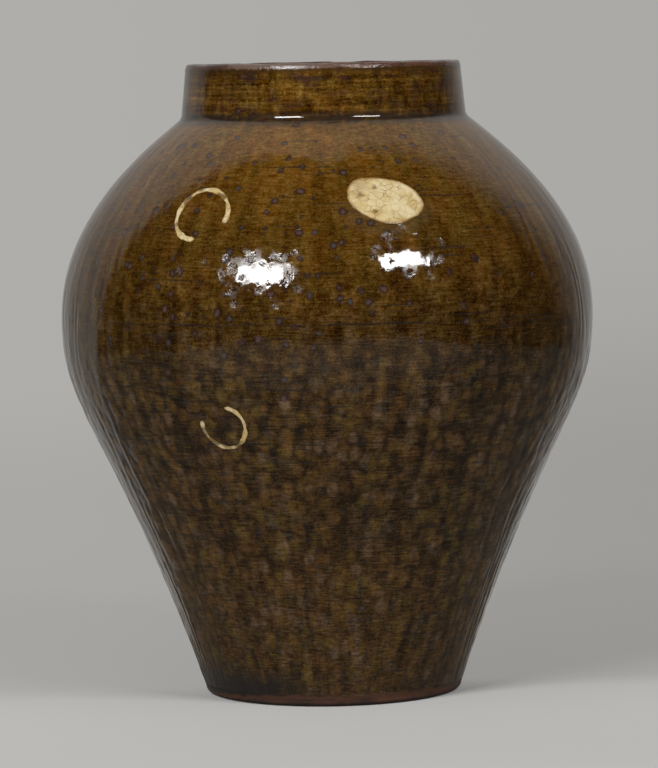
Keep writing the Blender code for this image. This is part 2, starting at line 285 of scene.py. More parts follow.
@dataclass(frozen=True)
class Wall:
    """The outline that every layer of the jar follows, with the sizes of the part's source.

    Only the fillet under the neck is rounder here, because glaze pools in it.
    """

    height: float
    belly_radius: float
    belly_height: float = 0.198
    foot_radius: float = 0.0675
    foot_round: float = 0.003
    neck_height: float = 0.0282
    neck_root_radius: float = 0.0746
    neck_root_fillet: float = 0.005
    lip_radius: float = 0.0718
    foot_slope: float = 0.34
    shoulder_slope: float = -1.2
    foot_pull_share: float = 0.765
    under_belly_pull_share: float = 0.263
    over_belly_pull_share: float = 0.537
    shoulder_pull_share: float = 0.146
    fine_steps: int = 600
    fillet_steps: int = 20

    @property
    def root(self) -> float:
        """Height of the neck's root."""
        return self.height - self.neck_height

    def curve(self, *corners: Vector) -> np.ndarray:
        """Rows along one cubic curve without its end.

        Args:
            corners: Start, the two pulls and the end, each a radius and a height.
        """
        share = np.arange(self.fine_steps)[:, None] / self.fine_steps
        rest = 1 - share
        weights = (rest**3, 3 * rest**2 * share, 3 * rest * share**2, share**3)
        points = sum(weight * np.array(corner) for weight, corner in zip(weights, corners))
        legs = [np.array(end - start) for start, end in zip(corners, corners[1:])]
        along = rest**2 * legs[0] + 2 * rest * share * legs[1] + share**2 * legs[2]
        along /= np.linalg.norm(along, axis=1, keepdims=True)
        return np.hstack([points, along[:, 1:], -along[:, :1]])

    @functools.cached_property
    def outline(self) -> np.ndarray:
        """Fine rows up the outside, from the foot to the lip's top."""
        foot = Vector((self.foot_radius, self.foot_round))
        belly = Vector((self.belly_radius, self.belly_height))
        corner = Vector((self.neck_root_radius, self.root))
        lip = Vector((self.lip_radius, self.height))
        foot_way = Vector((self.foot_slope, 1)).normalized()
        shoulder_way = Vector((self.shoulder_slope, 1)).normalized()
        neck_way = (lip - corner).normalized()
        bend = shoulder_way.angle(neck_way)
        bend_start = corner - shoulder_way * self.neck_root_fillet * math.tan(bend / 2)
        lower = Vector((0, self.belly_height - self.foot_round))
        upper = Vector((0, self.root - self.belly_height))
        first = math.atan2(-shoulder_way.x, shoulder_way.y)
        last = math.atan2(-neck_way.x, neck_way.y)
        centre = bend_start + Vector((shoulder_way.y, -shoulder_way.x)) * self.neck_root_fillet
        foot_pull = foot + foot_way * self.foot_pull_share * lower.y
        shoulder_pull = bend_start - shoulder_way * self.shoulder_pull_share * upper.y
        parts = [
            self.curve(foot, foot_pull, belly - lower * self.under_belly_pull_share, belly),
            self.curve(belly, belly + upper * self.over_belly_pull_share, shoulder_pull, bend_start),
            arc(centre, -self.neck_root_fillet, first, last, self.fillet_steps),
            [(*lip, math.cos(last), math.sin(last))],
        ]
        return np.vstack(parts)

    def spot(self, degrees_east: float, height: float) -> Vector:
        """A point on the outside, by degrees from the front to +X and by height."""
        radius = float(np.interp(height, self.outline[:, 1], self.outline[:, 0]))
        turn = math.radians(degrees_east)
        return Vector((radius * math.sin(turn), -radius * math.cos(turn), height))

    def face(self, depth: float, low: float, high: float, spacing: float) -> np.ndarray:
        """Even rows up the face that lies at a depth under the outside.

        Args:
            depth: Distance under the outside, along its normal.
            low: Height at which the face starts.
            high: Height at which it ends.
            spacing: Distance between rows, met as nearly as whole steps allow.
        """
        rows = self.outline.copy()
        rows[:, :2] -= rows[:, 2:] * depth
        ends = [[np.interp(z, rows[:, 1], rows[:, k]) for k in range(4)] for z in (low, high)]
        kept = rows[(rows[:, 1] > low) & (rows[:, 1] < high)]
        rows = np.vstack([ends[0], kept, ends[1]])
        way = way_along(rows)
        stations = np.linspace(0, way[-1], max(2, round(way[-1] / spacing) + 1))
        return np.stack([np.interp(stations, way, rows[:, k]) for k in range(4)], axis=1)


@dataclass(frozen=True)
class Relief:
    """How the surface departs from the turned outline after firing, in patterns for shape and colour.

    The craters are listed as degrees east of the front, then height, radius and depth in
    millimetres.
    """

    wall: Wall
    pads_per_metre: tuple[float, float, float] = (172.0, 172.0, 116.0)
    rib_count: float = 76.0
    rib_wander: float = 17.6
    pit_spacing: float = 0.0074
    pit_radius: float = 0.0030
    pit_ragged: float = 0.0030
    crater_ragged: float = 0.0040
    ragged_scale: float = 420.0
    throwing_pitch: float = 0.0026
    seam_heights: tuple[float, ...] = (0.2015, 0.1690, 0.1410, 0.0905)
    haze_reach: float = 2.6
    craters: tuple[tuple[float, float, float, float], ...] = (
        (-20.5, 230.5, 3.0, 0.12), (-16.5, 235.0, 3.4, 0.13), (-12.0, 231.0, 1.6, 0.10),
        (-10.5, 234.5, 2.8, 0.12), (-7.5, 226.5, 2.4, 0.12), (-18.0, 225.0, 1.9, 0.14),
        (-20.5, 218.5, 2.2, 0.24), (-19.5, 212.5, 2.1, 0.26), (-10.5, 211.5, 1.7, 0.28),
        (-33.0, 229.0, 2.1, 0.42), (-27.0, 232.5, 1.8, 0.34), (14.0, 243.5, 3.1, 0.22),
        (17.5, 248.0, 1.9, 0.26), (14.0, 232.0, 1.3, 0.16), (18.0, 226.0, 2.1, 0.18),
        (24.5, 231.5, 2.4, 0.13), (26.0, 241.0, 1.8, 0.28), (-22.5, 226.5, 2.4, 0.20),
        (-22.0, 234.5, 2.2, 0.18), (-14.0, 219.0, 2.0, 0.24), (-6.0, 219.0, 1.6, 0.26),
        (-7.0, 237.0, 1.9, 0.22), (20.5, 244.0, 2.0, 0.18), (11.0, 238.0, 1.7, 0.24),
        (22.5, 223.5, 1.5, 0.24),
    )

    @shared
    def place(self, at: Value) -> ThreeValues:
        """X and Y of the unit direction from the axis to a point, and the point's height."""
        x, y, z = at.split()
        radius = (x * x + y * y + 1e-9).math("SQRT")
        return x / radius, y / radius, z

    def stretched(self, at: Value, around: float, up: float) -> Value:
        """Coordinates that follow the wall: so many units round a radian and up a metre."""
        east, north, z = self.place(at)
        return at.nodes.join(east * around, north * around, z * up)

    def cloud(self, at: Value, around: float, up: float, *finer: float) -> Value:
        """Noise with so many features round a radian and up a metre, and finer layers as in noise."""
        return self.stretched(at, around, up).noise(1.0, *finer)

    @shared
    def ribs(self, at: Value) -> Value:
        """Fine rivulets down the wall, from about -1 to 1, that wander and merge slowly."""
        east, north, _ = self.place(at)
        wander = (self.cloud(at, 7, 16) - 0.5) * self.rib_wander
        waves = (north.math("ARCTAN2", east) * self.rib_count + wander).math("SINE")
        strength = self.cloud(at, 5, 22).ease(0.36, 0.62) * 0.80 + 0.12
        loose = self.cloud(at, 15, 26) - 0.5
        broad = self.cloud(at, 8, 15, 0.0) - 0.5
        return waves * strength + loose * 3.2 + broad * 4.0 * self.flank(at)

    @shared
    def flank(self, at: Value) -> Value:
        """How far a place lies to the left or right: 0 in front and behind, 1 at the sides."""
        east, _, _ = self.place(at)
        return (east * east).ease(0.30, 0.75)

    @shared
    def dapple(self, at: Value) -> tuple[Value, Value]:
        """Rounded pads of glaze about 6 mm wide, as if the wall had been hammered.

        Returns:
            1 at the middle of each pad and 0 between them, and a random number for each pad.
        """
        flow = at.vector("MULTIPLY", self.pads_per_metre).shaken(1.3, 0.50)
        distance, pick, _ = flow.cells(1.0)
        return distance.ease(0.84, 0.22), pick

    def waves(self, at: Value) -> Value:
        """Slow unevenness of the thrown wall, from about -1 to 1."""
        slow = at.noise(16.0, 0.0) - 0.5
        quick = self.cloud(at, 5, 36) - 0.5
        close = at.noise(105.0) - 0.5
        return slow * 2.0 + quick * 0.9 + close * 0.42

    @shared
    def pits(self, at: Value) -> tuple[Value, Value]:
        """Burst bubbles in the glaze.

        Returns:
            1 at the middle of each and 0 outside, and a random number for each.
        """
        distance, pick, girth = at.shaken(self.ragged_scale, self.pit_ragged).cells(1 / self.pit_spacing)
        east, north, z = self.place(at)
        front_left = (east * -0.62 - north * 0.78).ease(0.20, 0.90)
        on_shoulder = z.ease(0.165, 0.210) * z.ease(0.302, 0.288)
        patches = at.noise(19.0).ease(0.42, 0.62)
        share = on_shoulder * (front_left * 0.50 + patches * 0.30 + 0.06) + 0.07
        reach = (girth * 0.35 + 0.80) * (self.pit_radius / self.pit_spacing)
        return (1 - distance / reach).ease(0.0, 0.85) * pick.math("LESS_THAN", share), girth

    @shared
    def burst(self, at: Value) -> ThreeValues:
        """The large craters.

        Returns:
            1 inside each and 0 outside, the depth in metres, and 1 fading to 0 round each.
        """
        inside = dent = haze = at.z * 0.0
        uneven = at.shaken(self.ragged_scale, self.crater_ragged)
        for degrees_east, height, width, depth in self.craters:
            values = {0: uneven, 1: self.wall.spot(degrees_east, height * MM)}
            away = at.nodes.get("ShaderNodeVectorMath", values, "Value", operation="DISTANCE")
            radius = width * MM
            near = away.ease(radius * 1.1, radius * 0.15)
            inside = inside.larger(near)
            dent = dent.larger(near * (depth * MM))
            haze = haze.larger(away.ease(radius * self.haze_reach, radius))
        return inside, dent, haze

    @shared
    def throwing(self, at: Value) -> Value:
        """Level lines left by the potter's tool, from about -1 to 1."""
        drift = self.cloud(at, 1.2, 25) * 9.0
        rings = (at.z * (FULL_TURN / self.throwing_pitch) + drift).math("SINE")
        scored = self.cloud(at, 1.5, 820, 1.0, 0.6) - 0.5
        return rings * 0.3 + scored * 2.2

    @shared
    def on_neck(self, at: Value) -> Value:
        """1 on the neck and 0 below it."""
        return at.z.ease(self.wall.root - 0.002, self.wall.root + 0.002)

    @shared
    def scores(self, at: Value) -> Value:
        """Thin level lines in the clay under the glaze: 1 in a line, 0 elsewhere.

        The wall's seams show as long broken lines, and tool marks as shorter ones.
        """
        z = at.z
        more_below = z.ease(0.215, 0.165) * 0.045
        lines = (self.cloud(at, 3.2, 620, 0.0) + more_below).ease(0.71, 0.80) * 0.7
        lines = lines * (1 - self.on_neck(at) * 0.3)
        level = z + (self.cloud(at, 3.0, 0, 2.0) - 0.5) * 0.0032
        for height in self.seam_heights:
            broken = self.cloud(at, 4.0, height * 900, 2.0).ease(0.41, 0.54)
            seam = (level - height).math("ABSOLUTE").ease(0.00080, 0.00020)
            lines = lines.larger(seam * broken)
        return lines * self.cloud(at, 13, 200).ease(0.25, 0.60)


@dataclass(frozen=True)
class Turning:
    """How a half section is turned and roughened, with depths in metres.

    A closed section joins its last row to its first.
    """

    divisions: int = 512
    closed: int = 1
    seed: int = 3
    rib_depth: float = 0.0
    dapple_depth: float = 0.0
    wave_depth: float = 0.0
    throwing_depth: float = 0.0
    rise_depth: float = 0.0


class TurnedTree:
    """The Geometry Nodes tree that turns a half section round the axis and roughens its skin."""

    SOCKETS = {int: "NodeSocketInt", float: "NodeSocketFloat"}
    SEED_STEP = 0.71
    MERGE_DISTANCE = 0.00001

    def __init__(self, relief: Relief) -> None:
        """Builds the tree from the relief's patterns."""
        self.tree = bpy.data.node_groups.new("turned_ware", "GeometryNodeTree")
        self.nodes = Nodes(self.tree)
        self.keys: dict[str, str] = {}
        kinds = {"section": "NodeSocketGeometry", "finish": "NodeSocketMaterial"}
        kinds.update({name: self.SOCKETS[type(value)] for name, value in asdict(Turning()).items()})
        interface = self.tree.interface
        for name, kind in kinds.items():
            socket = interface.new_socket(name=name, in_out="INPUT", socket_type=kind)
            self.keys[name] = socket.identifier
        interface.new_socket(name="ware", in_out="OUTPUT", socket_type="NodeSocketGeometry")
        self.entry = self.nodes.add("NodeGroupInput")
        self.build(relief)

    def entered(self, name: str) -> Value:
        """One of the tree's inputs."""
        return Value(self.nodes, self.entry.outputs[name])

    def sampled(self, field: Value, row: Value, kind: str) -> Value:
        """A field of the section read at a row's point."""
        values = {"Geometry": self.entered("section"), "Value": field, "Index": row}
        return self.nodes.get("GeometryNodeSampleIndex", values, data_type=kind, domain="POINT")

    def named(self, name: str, kind: str) -> Value:
        """A named attribute of the section."""
        return self.nodes.get("GeometryNodeInputNamedAttribute", {"Name": name}, data_type=kind)

    def turned(self, flat: Value, turn: Value) -> Value:
        """A radius and a height swung round the axis by an angle from the front."""
        radius, _, height = flat.split()
        return self.nodes.join(radius * turn.math("SINE"), radius * turn.math("COSINE") * -1.0, height)

    def build(self, relief: Relief) -> None:
        """Adds the nodes: grid, turning, roughening, closing and finish."""
        nodes = self.nodes
        around = self.entered("divisions")
        values = {0: self.entered("section")}
        points = nodes.get("GeometryNodeAttributeDomainSize", values, "Point Count", component="MESH")
        rows = points + self.entered("closed")
        index = nodes.get("GeometryNodeInputIndex")
        column = (index / rows).math("FLOOR")
        row = (index - column * rows).math("MODULO", points)
        turn = column.math("MODULO", around) * FULL_TURN / around
        position = nodes.get("GeometryNodeInputPosition")
        flat = self.sampled(position, row, "FLOAT_VECTOR")
        normal = self.sampled(self.named("outward", "FLOAT_VECTOR"), row, "FLOAT_VECTOR")
        attributes = (
            ("outward", "FLOAT_VECTOR", self.turned(normal, turn)),
            ("skin", "FLOAT", self.sampled(self.named("skin", "FLOAT"), row, "FLOAT")),
            ("place", "INT", column.math("MODULO", around) + row * around),
        )
        ware = nodes.get("GeometryNodeMeshGrid", {"Vertices X": around + 1.0, "Vertices Y": rows})
        ware = self.passed(ware, "SetPosition", {"Position": self.turned(flat, turn)})
        for name, kind, value in attributes:
            values = {"Name": name, "Value": value}
            ware = self.passed(ware, "StoreNamedAttribute", values, data_type=kind, domain="POINT")
        offset = self.move(relief, position).scaled(self.named("skin", "FLOAT"))
        ware = self.passed(ware, "SetPosition", {"Offset": offset})
        ware = self.passed(ware, "MergeByDistance", {"Distance": self.MERGE_DISTANCE})
        ware = self.passed(self.passed(ware, "SetShadeSmooth"), "RealizeInstances")
        ware = self.passed(ware, "SetMaterial", {"Material": self.entered("finish")})
        nodes.add("NodeGroupOutput", {0: ware})

    def passed(self, ware: Value, kind: str, values: Inputs = None, **settings: Any) -> Value:
        """Geometry passed through one more node of a kind."""
        return self.nodes.get("GeometryNode" + kind, {"Geometry": ware, **(values or {})}, **settings)

    def move(self, relief: Relief, position: Value) -> Value:
        """How the roughening moves a point: outwards by the patterns, and up by the lip's rise."""
        nodes, root = self.nodes, relief.wall.root
        z = position.z
        below_neck = 1 - relief.on_neck(position)
        clear_of_root = z.ease(root - 0.004, root - 0.016)
        stronger_below = z.ease(0.27, 0.17) * 0.60 + 0.40
        stronger_at_sides = relief.flank(position) * 0.70 + 0.30
        ribs = relief.ribs(position) * self.entered("rib_depth") * below_neck
        ribs = ribs * clear_of_root * stronger_below * stronger_at_sides
        hammered = z.ease(0.205, 0.150) * 0.82 + 0.18
        pads = relief.dapple(position)[0] * self.entered("dapple_depth") * below_neck * hammered
        calm_at_root = (z - root).math("ABSOLUTE").ease(0.0015, 0.0070) * 0.85 + 0.15
        shift = nodes.join(0.0, 0.0, self.entered("seed") * self.SEED_STEP)
        waves = relief.waves(position.vector("ADD", shift)) * self.entered("wave_depth") * calm_at_root
        over_root = z.ease(root + 0.002, root + 0.007)
        lines = relief.throwing(position) * self.entered("throwing_depth") * over_root
        rise = (relief.cloud(position, 3.8, 0, 2.0) - 0.5) * 3.0 * self.entered("rise_depth")
        outward = self.named("outward", "FLOAT_VECTOR").scaled(ribs + pads + waves + lines)
        return outward.vector("ADD", nodes.join(0.0, 0.0, rise))

    def mesh(
        self, name: str, turning: Turning, material: bpy.types.Material, *runs: Run
    ) -> bpy.types.Mesh:
        """Turns one half section into a plain mesh.

        Args:
            name: Name of the mesh.
            turning: How the section is turned and roughened.
            material: The finish.
            runs: Rows up the outside first, each run with how far the roughening counts on it.

        Returns:
            The evaluated mesh, with no modifier behind it.
        """
        rows = np.vstack([run for run, _ in runs])
        skin = np.concatenate([np.full(len(run), share) for run, share in runs])
        points, normals = (np.insert(pair, 1, 0.0, axis=1) for pair in (rows[:, :2], rows[:, 2:]))
        flat = bpy.data.meshes.new(name + "_section")
        flat.from_pydata(points.tolist(), [(k, k + 1) for k in range(len(rows) - 1)], [])
        outward = flat.attributes.new("outward", "FLOAT_VECTOR", "POINT")
        outward.data.foreach_set("vector", normals.astype(np.float32).ravel())
        keep_numbers(flat, "skin", skin)
        holder = linked(name + "_section", flat)
        modifier = holder.modifiers.new("turned_ware", "NODES")
        modifier.node_group = self.tree
        for key, value in {**asdict(turning), "finish": material}.items():
            modifier[self.keys[key]] = value
        graph = bpy.context.evaluated_depsgraph_get()
        made = bpy.data.meshes.new_from_object(holder.evaluated_get(graph))
        made.name = name
        bpy.data.objects.remove(holder)
        bpy.data.meshes.remove(flat)
        return made


def linked(name: str, data: Any) -> bpy.types.Object:
    """A new object in the scene."""
    made = bpy.data.objects.new(name, data)
    bpy.context.scene.collection.objects.link(made)
    return made


def keep_numbers(mesh: bpy.types.Mesh, name: str, numbers: np.ndarray) -> None:
    """Keeps a number for each point of a mesh under a name."""
    layer = mesh.attributes.new(name, "FLOAT", "POINT")
    layer.data.foreach_set("value", numbers.astype(np.float32).ravel())


def new_material(name: str) -> tuple[bpy.types.Material, Nodes, Value]:
    """An empty node material, the builder of its tree, and the object's own coordinates."""
    material = bpy.data.materials.new(name)
    material.use_nodes = True
    material.node_tree.nodes.clear()
    nodes = Nodes(material.node_tree)
    return material, nodes, nodes.get("ShaderNodeTexCoord", output="Object")


class Finish:
    """A node material for one kind of surface."""

    NAME = "finish"
    SPECULAR = 0.5

    def layers(self, at: Value) -> ThreeValues:
        """Colour, roughness and fine height in metres."""
        raise NotImplementedError

    def material(self) -> bpy.types.Material:
        """The finished material."""
        material, nodes, at = new_material(self.NAME)
        colour, rough, height = self.layers(at)
        values = {"Height": height, "Distance": 1.0, "Strength": 1.0}
        values = {
            "Base Color": colour,
            "Roughness": rough,
            "Specular IOR Level": self.SPECULAR,
            "Normal": nodes.get("ShaderNodeBump", values),
        }
        shader = nodes.get("ShaderNodeBsdfPrincipled", values)
        nodes.add("ShaderNodeOutputMaterial", {"Surface": shader})
        return material


@dataclass(frozen=True)
class GlazeFinish(Finish):
    """The olive-brown glaze of the outside: amber where thin, blue-black where it pools."""

    NAME = "olive_glaze"

    relief: Relief
    amber: Colour = (0.094, 0.0388, 0.0038, 1)
    olive: Colour = (0.085, 0.0415, 0.0045, 1)
    bark: Colour = (0.0595, 0.0285, 0.0070, 1)
    moss: Colour = (0.0565, 0.0322, 0.0058, 1)
    umber: Colour = (0.038, 0.0170, 0.0042, 1)
    ink: Colour = (0.0140, 0.0118, 0.0110, 1)
    plum: Colour = (0.032, 0.0175, 0.0165, 1)
    rose: Colour = (0.098, 0.0560, 0.0470, 1)
    slate: Colour = (0.060, 0.0540, 0.0560, 1)
    rim: Colour = (0.026, 0.0130, 0.0090, 1)
    rust: Colour = (0.080, 0.0310, 0.0150, 1)
    veil: Colour = (0.085, 0.0680, 0.0340, 1)
    ash: Colour = (0.082, 0.0640, 0.0500, 1)
    gloss: float = 0.040
    haze: float = 0.22
    peel_depth: float = 0.000030
    pit_depth: float = 0.00006
    dab_azimuth: float = math.radians(15)
    dab_height: float = 0.2602
    dab_half_width: float = 0.0205
    dab_half_height: float = 0.0128

    def ground(self, at: Value) -> Value:
        """Broad colour of the glaze, before its grain, pits and pools."""
        relief, z = self.relief, at.z
        broad = relief.stretched(at, 9, 60).shaken(1.0, 1.0).noise(1.0, 3.0, 0.6)
        upper = broad.ease(0.38, 0.62).blend(self.amber, self.olive)
        pad, pick = relief.dapple(at)
        lower = pick.ease(0.30, 0.75).blend(self.bark, self.moss).under(
            (pad * pick.math("LESS_THAN", 0.15) * 0.26, self.ash),
            (pad * pick.math("GREATER_THAN", 0.82) * 0.48, self.plum),
            ((1 - pad) * broad.ease(0.20, 0.55) * 0.58, self.umber),
            (relief.cloud(at, 22, 150).ease(0.57, 0.68) * 0.52, self.ink),
        )
        depth = z.ease(0.045, 0.105) * 0.24 + z.ease(0.095, 0.135) * 0.18 + 0.42
        lower = lower.scaled((pad - 0.5) * depth + 0.98)
        return (z + broad * 0.03).ease(0.248, 0.185).blend(upper, lower)

    def tone(self, at: Value) -> tuple[Value, Value]:
        """How light the glaze is at a point.

        Returns:
            A factor of about 1 that darkens or lightens the colour by height and at random, and darkens
            the sides as painted shade, and even steps of lightness, about 0, for what leaves the colour as
            it is.
        """
        relief = self.relief
        east, _, z = relief.place(at)
        neck, flank = relief.on_neck(at), relief.flank(at)
        belly = z.ease(0.150, 0.190) * z.ease(0.255, 0.225)
        shoulder = z.ease(0.215, 0.240) * (1 - neck)
        grooved = flank * (shoulder * 0.16 + 0.07) + belly * 0.13 + 0.05
        columns = relief.cloud(at, 15, 14, 2.0) - 0.5
        streaks = (relief.ribs(at) * grooved + columns * 2.3) * z.ease(0.305, 0.255)

        calm = z.ease(0.212, 0.196) * 0.60 + z.ease(0.212, 0.250) * (1 - neck) * 0.7
        quiet = (1 - calm) * (1 - flank * 0.4) * (1 - neck * 0.35)
        mottle = (at.noise(110.0, 2.0, 1.0) - 0.5) * quiet * 4.0
        bands = relief.cloud(at, 1.6, 330) - 0.5
        level = (relief.throwing(at) * 0.55 + bands * 3.4) * neck
        clouds = (relief.cloud(at, 17, 92, 3.0, 0.62) - 0.5) * (neck * 2.2 + 2.0)
        uneven = clouds + mottle + streaks + level

        above_belly = z.ease(0.285, 0.215) * -0.52 + z.ease(0.270, 0.296) * 0.38 * (1 - neck)
        below_belly = z.ease(0.190, 0.165) * 0.42 + z.ease(0.120, 0.070) * 0.20
        # Painted shade: the colour darkens towards the left and right sides, most on the neck.
        painted_side_shade = east.ease(0.15, 0.75) * 0.45 + east.ease(-0.15, -0.75) * 0.22
        painted_side_shade = painted_side_shade + east.ease(-0.25, -0.65) * neck * 0.28
        broad = above_belly + below_belly - painted_side_shade * (neck * 0.45 + 0.55)
        return at.nodes.math("POWER", 2.0, broad + uneven * 0.62), uneven * 0.036

    def grain(self, at: Value) -> Value:
        """Fine grain of the glaze in even steps of lightness, about 0 on the whole."""
        z = at.z
        fine = at.noise(1500.0, 2.0, 0.8) - 0.5
        coarse = at.noise(600.0) - 0.5
        woven = self.relief.cloud(at, 16, 1200) - 0.5
        grain = fine * 5.3 + coarse * 1.9 + woven * (z.ease(0.20, 0.14) * 1.3 + 2.7)
        strength = z.ease(0.140, 0.215) * 0.012 + self.relief.on_neck(at) * 0.004 + 0.056
        return grain * strength * (1 - self.relief.flank(at) * 0.4)

    def halo(self, at: Value) -> Value:
        """The paler run of glaze just below the dab of slip: 1 at its edge, 0 away from it."""
        x, y, z = at.split()
        right, ahead = math.cos(self.dab_azimuth), math.sin(self.dab_azimuth)
        across = (x * right + y * ahead) / self.dab_half_width
        drop = (z - self.dab_height) / self.dab_half_height
        off = (across * across + drop * drop).math("SQRT")
        return off.ease(1.45, 1.05) * drop.ease(0.3, -0.5) * y.ease(0.0, -0.01)

    def colour(self, at: Value) -> Value:
        """Colour of the glaze at a point."""
        relief, z, root = self.relief, at.z, self.relief.wall.root
        factor, lightness = self.tone(at)
        ground = self.ground(at).scaled(factor).lightened(self.grain(at) + lightness)
        neck_clouds = relief.cloud(at, 5, 150, 3.0).ease(0.48, 0.70) * relief.on_neck(at)
        under_lip = z.ease(root + 0.0130, root + 0.0240) * 0.5 + 0.5
        pits, pick = relief.pits(at)
        milky = at.noise(240.0).ease(0.28, 0.55) * pits.ease(0.50, 1.0)
        ground = ground.under(
            (neck_clouds * under_lip * 0.72, self.plum),
            (relief.scores(at) * 0.80, self.ink),
            (self.halo(at) * 0.22, self.veil),
            (pits.ease(0.02, 0.50) * (pick * 0.25 + 0.70), self.rim),
            (milky * 0.70, pick.ease(0.55, 0.68).blend(self.slate, self.rose)),
            (relief.burst(at)[0] * 0.40, self.plum),
        )
        pool = z.ease(root + 0.0052, root + 0.0012) * z.ease(root - 0.0048, root - 0.0008)
        uneven = relief.cloud(at, 9, 300, 2.0)
        # Painted shadow: a ragged umber band on the coat just under the lip's bead.
        edge = (z + uneven * 0.0016).ease(root + 0.0226, root + 0.0258)
        return self.at_foot(at, ground).under(
            (pool * (uneven.ease(0.25, 0.60) * 0.45 + 0.38), self.ink), (edge * 0.75, self.umber)
        )

    @shared
    def over_line(self, at: Value) -> Value:
        """Height over the ragged line where the glaze ends, which runs lowest at the left side."""
        east, _, z = self.relief.place(at)
        ragged = self.relief.cloud(at, 20, 150, 3.0, 0.6) - 0.5
        front = east.ease(-0.95, -0.25) * (1 - east.ease(0.25, 0.90) * 0.35)
        return z - front * 0.0034 - ragged * 0.0045 - 0.0013

    @shared
    def thin(self, at: Value) -> Value:
        """Where the glaze thins out over the foot: 1 at its edge, 0 above it."""
        return self.over_line(at).ease(0.0028, 0.0004)

    def at_foot(self, at: Value, ground: Value) -> Value:
        """Adds the pooled dark glaze above the foot's left side and the thin brown edge."""
        east, north, z = self.relief.place(at)
        uneven = self.relief.cloud(at, 9, 110, 2.0)
        front_left = (east * -0.8 - north * 0.6).ease(0.60, 0.96) * 0.75 + 0.18
        pooled = (z + uneven * 0.014).ease(0.032, 0.016) * front_left
        return ground.under((pooled, self.ink), (self.thin(at) * 0.85, self.rust))

    def bump(self, at: Value) -> Value:
        """Fine height of the glaze in metres, for what is too small for the mesh."""
        peel = at.noise(300.0, 2.0) * self.peel_depth
        dent = self.relief.burst(at)[1] * (at.noise(900.0, 2.0, 0.6) * 2.6 - 0.5)
        return peel - self.relief.pits(at)[0] * self.pit_depth - dent

    def layers(self, at: Value) -> ThreeValues:
        """Colour, roughness and fine height in metres."""
        patchy = at.noise(260.0, 2.0).ease(0.42, 0.60) * self.haze
        rough = at.noise(60.0, 2.0) * 0.03 + self.thin(at) * 0.35 + self.gloss
        return self.colour(at), rough + self.relief.burst(at)[2] * patchy, self.bump(at)


@dataclass(frozen=True)
class LipFinish(Finish):
    """The thin brown glaze of the lip, gritty, with a painted highlight across its front and the outer
    glaze ending on it in a ragged line.
    """

    NAME = "lip_stoneware"

    glaze: GlazeFinish
    brown: Colour = (0.108, 0.046, 0.027, 1)
    dark: Colour = (0.046, 0.020, 0.013, 1)
    pale: Colour = (0.192, 0.146, 0.119, 1)
    gloss: float = 0.14
    ragged_height: float = 0.3276
    ragged_half: float = 0.0007
    grit_depth: float = 0.00022

    def layers(self, at: Value) -> ThreeValues:
        """Colour, roughness and fine height in metres."""
        relief = self.glaze.relief
        east, north, _ = relief.place(at)
        patches = relief.cloud(at, 8, 60, 3.0, 0.6)
        grit = at.noise(1300.0, 2.0, 0.7)
        # Painted highlight: the lip is paler at the front-left, facing the left lamp.
        painted_front_highlight = (east * 0.5 + north * 0.87).ease(-0.60, -0.98)
        shaded = (east + patches * 0.2).ease(-0.48, -0.66)
        bare = patches.ease(0.35, 0.62).blend(self.dark, self.brown).under(
            (grit.ease(0.56, 0.70) * 0.5, self.pale),
            (grit.ease(0.46, 0.32) * 0.8, self.dark),
            (painted_front_highlight * 0.48, self.pale),
            (shaded * 0.85, self.dark),
        )
        above = at.z + (relief.cloud(at, 40, 500, 2.0) - 0.5) * 0.0030
        share = above.ease(self.ragged_height - self.ragged_half, self.ragged_height + self.ragged_half)
        height = at.noise(820.0, 2.0, 0.6) * self.grit_depth
        return share.blend(self.glaze.colour(at), bare), self.gloss + (patches - 0.5) * 0.2, height


@dataclass(frozen=True)
class LiningFinish(Finish):
    """The darker glaze of the inside, with its throwing rings."""

    NAME = "lining_glaze"

    relief: Relief
    brown: Colour = (0.060, 0.029, 0.0075, 1)
    olive: Colour = (0.050, 0.033, 0.0090, 1)
    ink: Colour = (0.014, 0.011, 0.010, 1)
    gloss: float = 0.14
    peel_depth: float = 0.00006

    def layers(self, at: Value) -> ThreeValues:
        """Colour, roughness and fine height in metres."""
        patches = self.relief.cloud(at, 4, 30, 3.0, 0.6)
        ground = patches.ease(0.38, 0.62).blend(self.brown, self.olive).under(
            (self.relief.throwing(at).ease(0.2, 1.0) * 0.5, self.ink),
            (at.noise(420.0, 2.0, 0.7).ease(0.60, 0.74) * 0.5, self.ink),
        )
        rough = self.gloss + at.noise(70.0, 2.0) * 0.08
        return ground, rough, at.noise(260.0, 2.0) * self.peel_depth


@dataclass(frozen=True)
class ClayFinish(Finish):
    """Bare red-brown stoneware."""

    NAME = "bare_stoneware"
    SPECULAR = 0.2

    red: Colour = (0.090, 0.036, 0.019, 1)
    dark: Colour = (0.036, 0.017, 0.011, 1)
    pale: Colour = (0.190, 0.110, 0.070, 1)
    gloss: float = 0.62
    grit_depth: float = 0.00012

    def colour(self, at: Value) -> Value:
        """Colour of the clay at a point."""
        grit = at.noise(1300.0, 2.0, 0.7)
        return at.noise(45.0, 3.0, 0.6).ease(0.35, 0.68).blend(self.dark, self.red).under(
            (grit.ease(0.60, 0.74) * 0.6, self.pale), (grit.ease(0.40, 0.28) * 0.7, self.dark)
        )

    def grit(self, at: Value) -> Value:
        """Height of the clay's grit in metres."""
        return at.noise(900.0, 3.0, 0.65) * self.grit_depth

    def layers(self, at: Value) -> ThreeValues:
        """Colour, roughness and fine height in metres."""
        rough = self.gloss + (at.noise(45.0, 3.0, 0.6) - 0.5) * 0.2
        return self.colour(at), rough, self.grit(at)


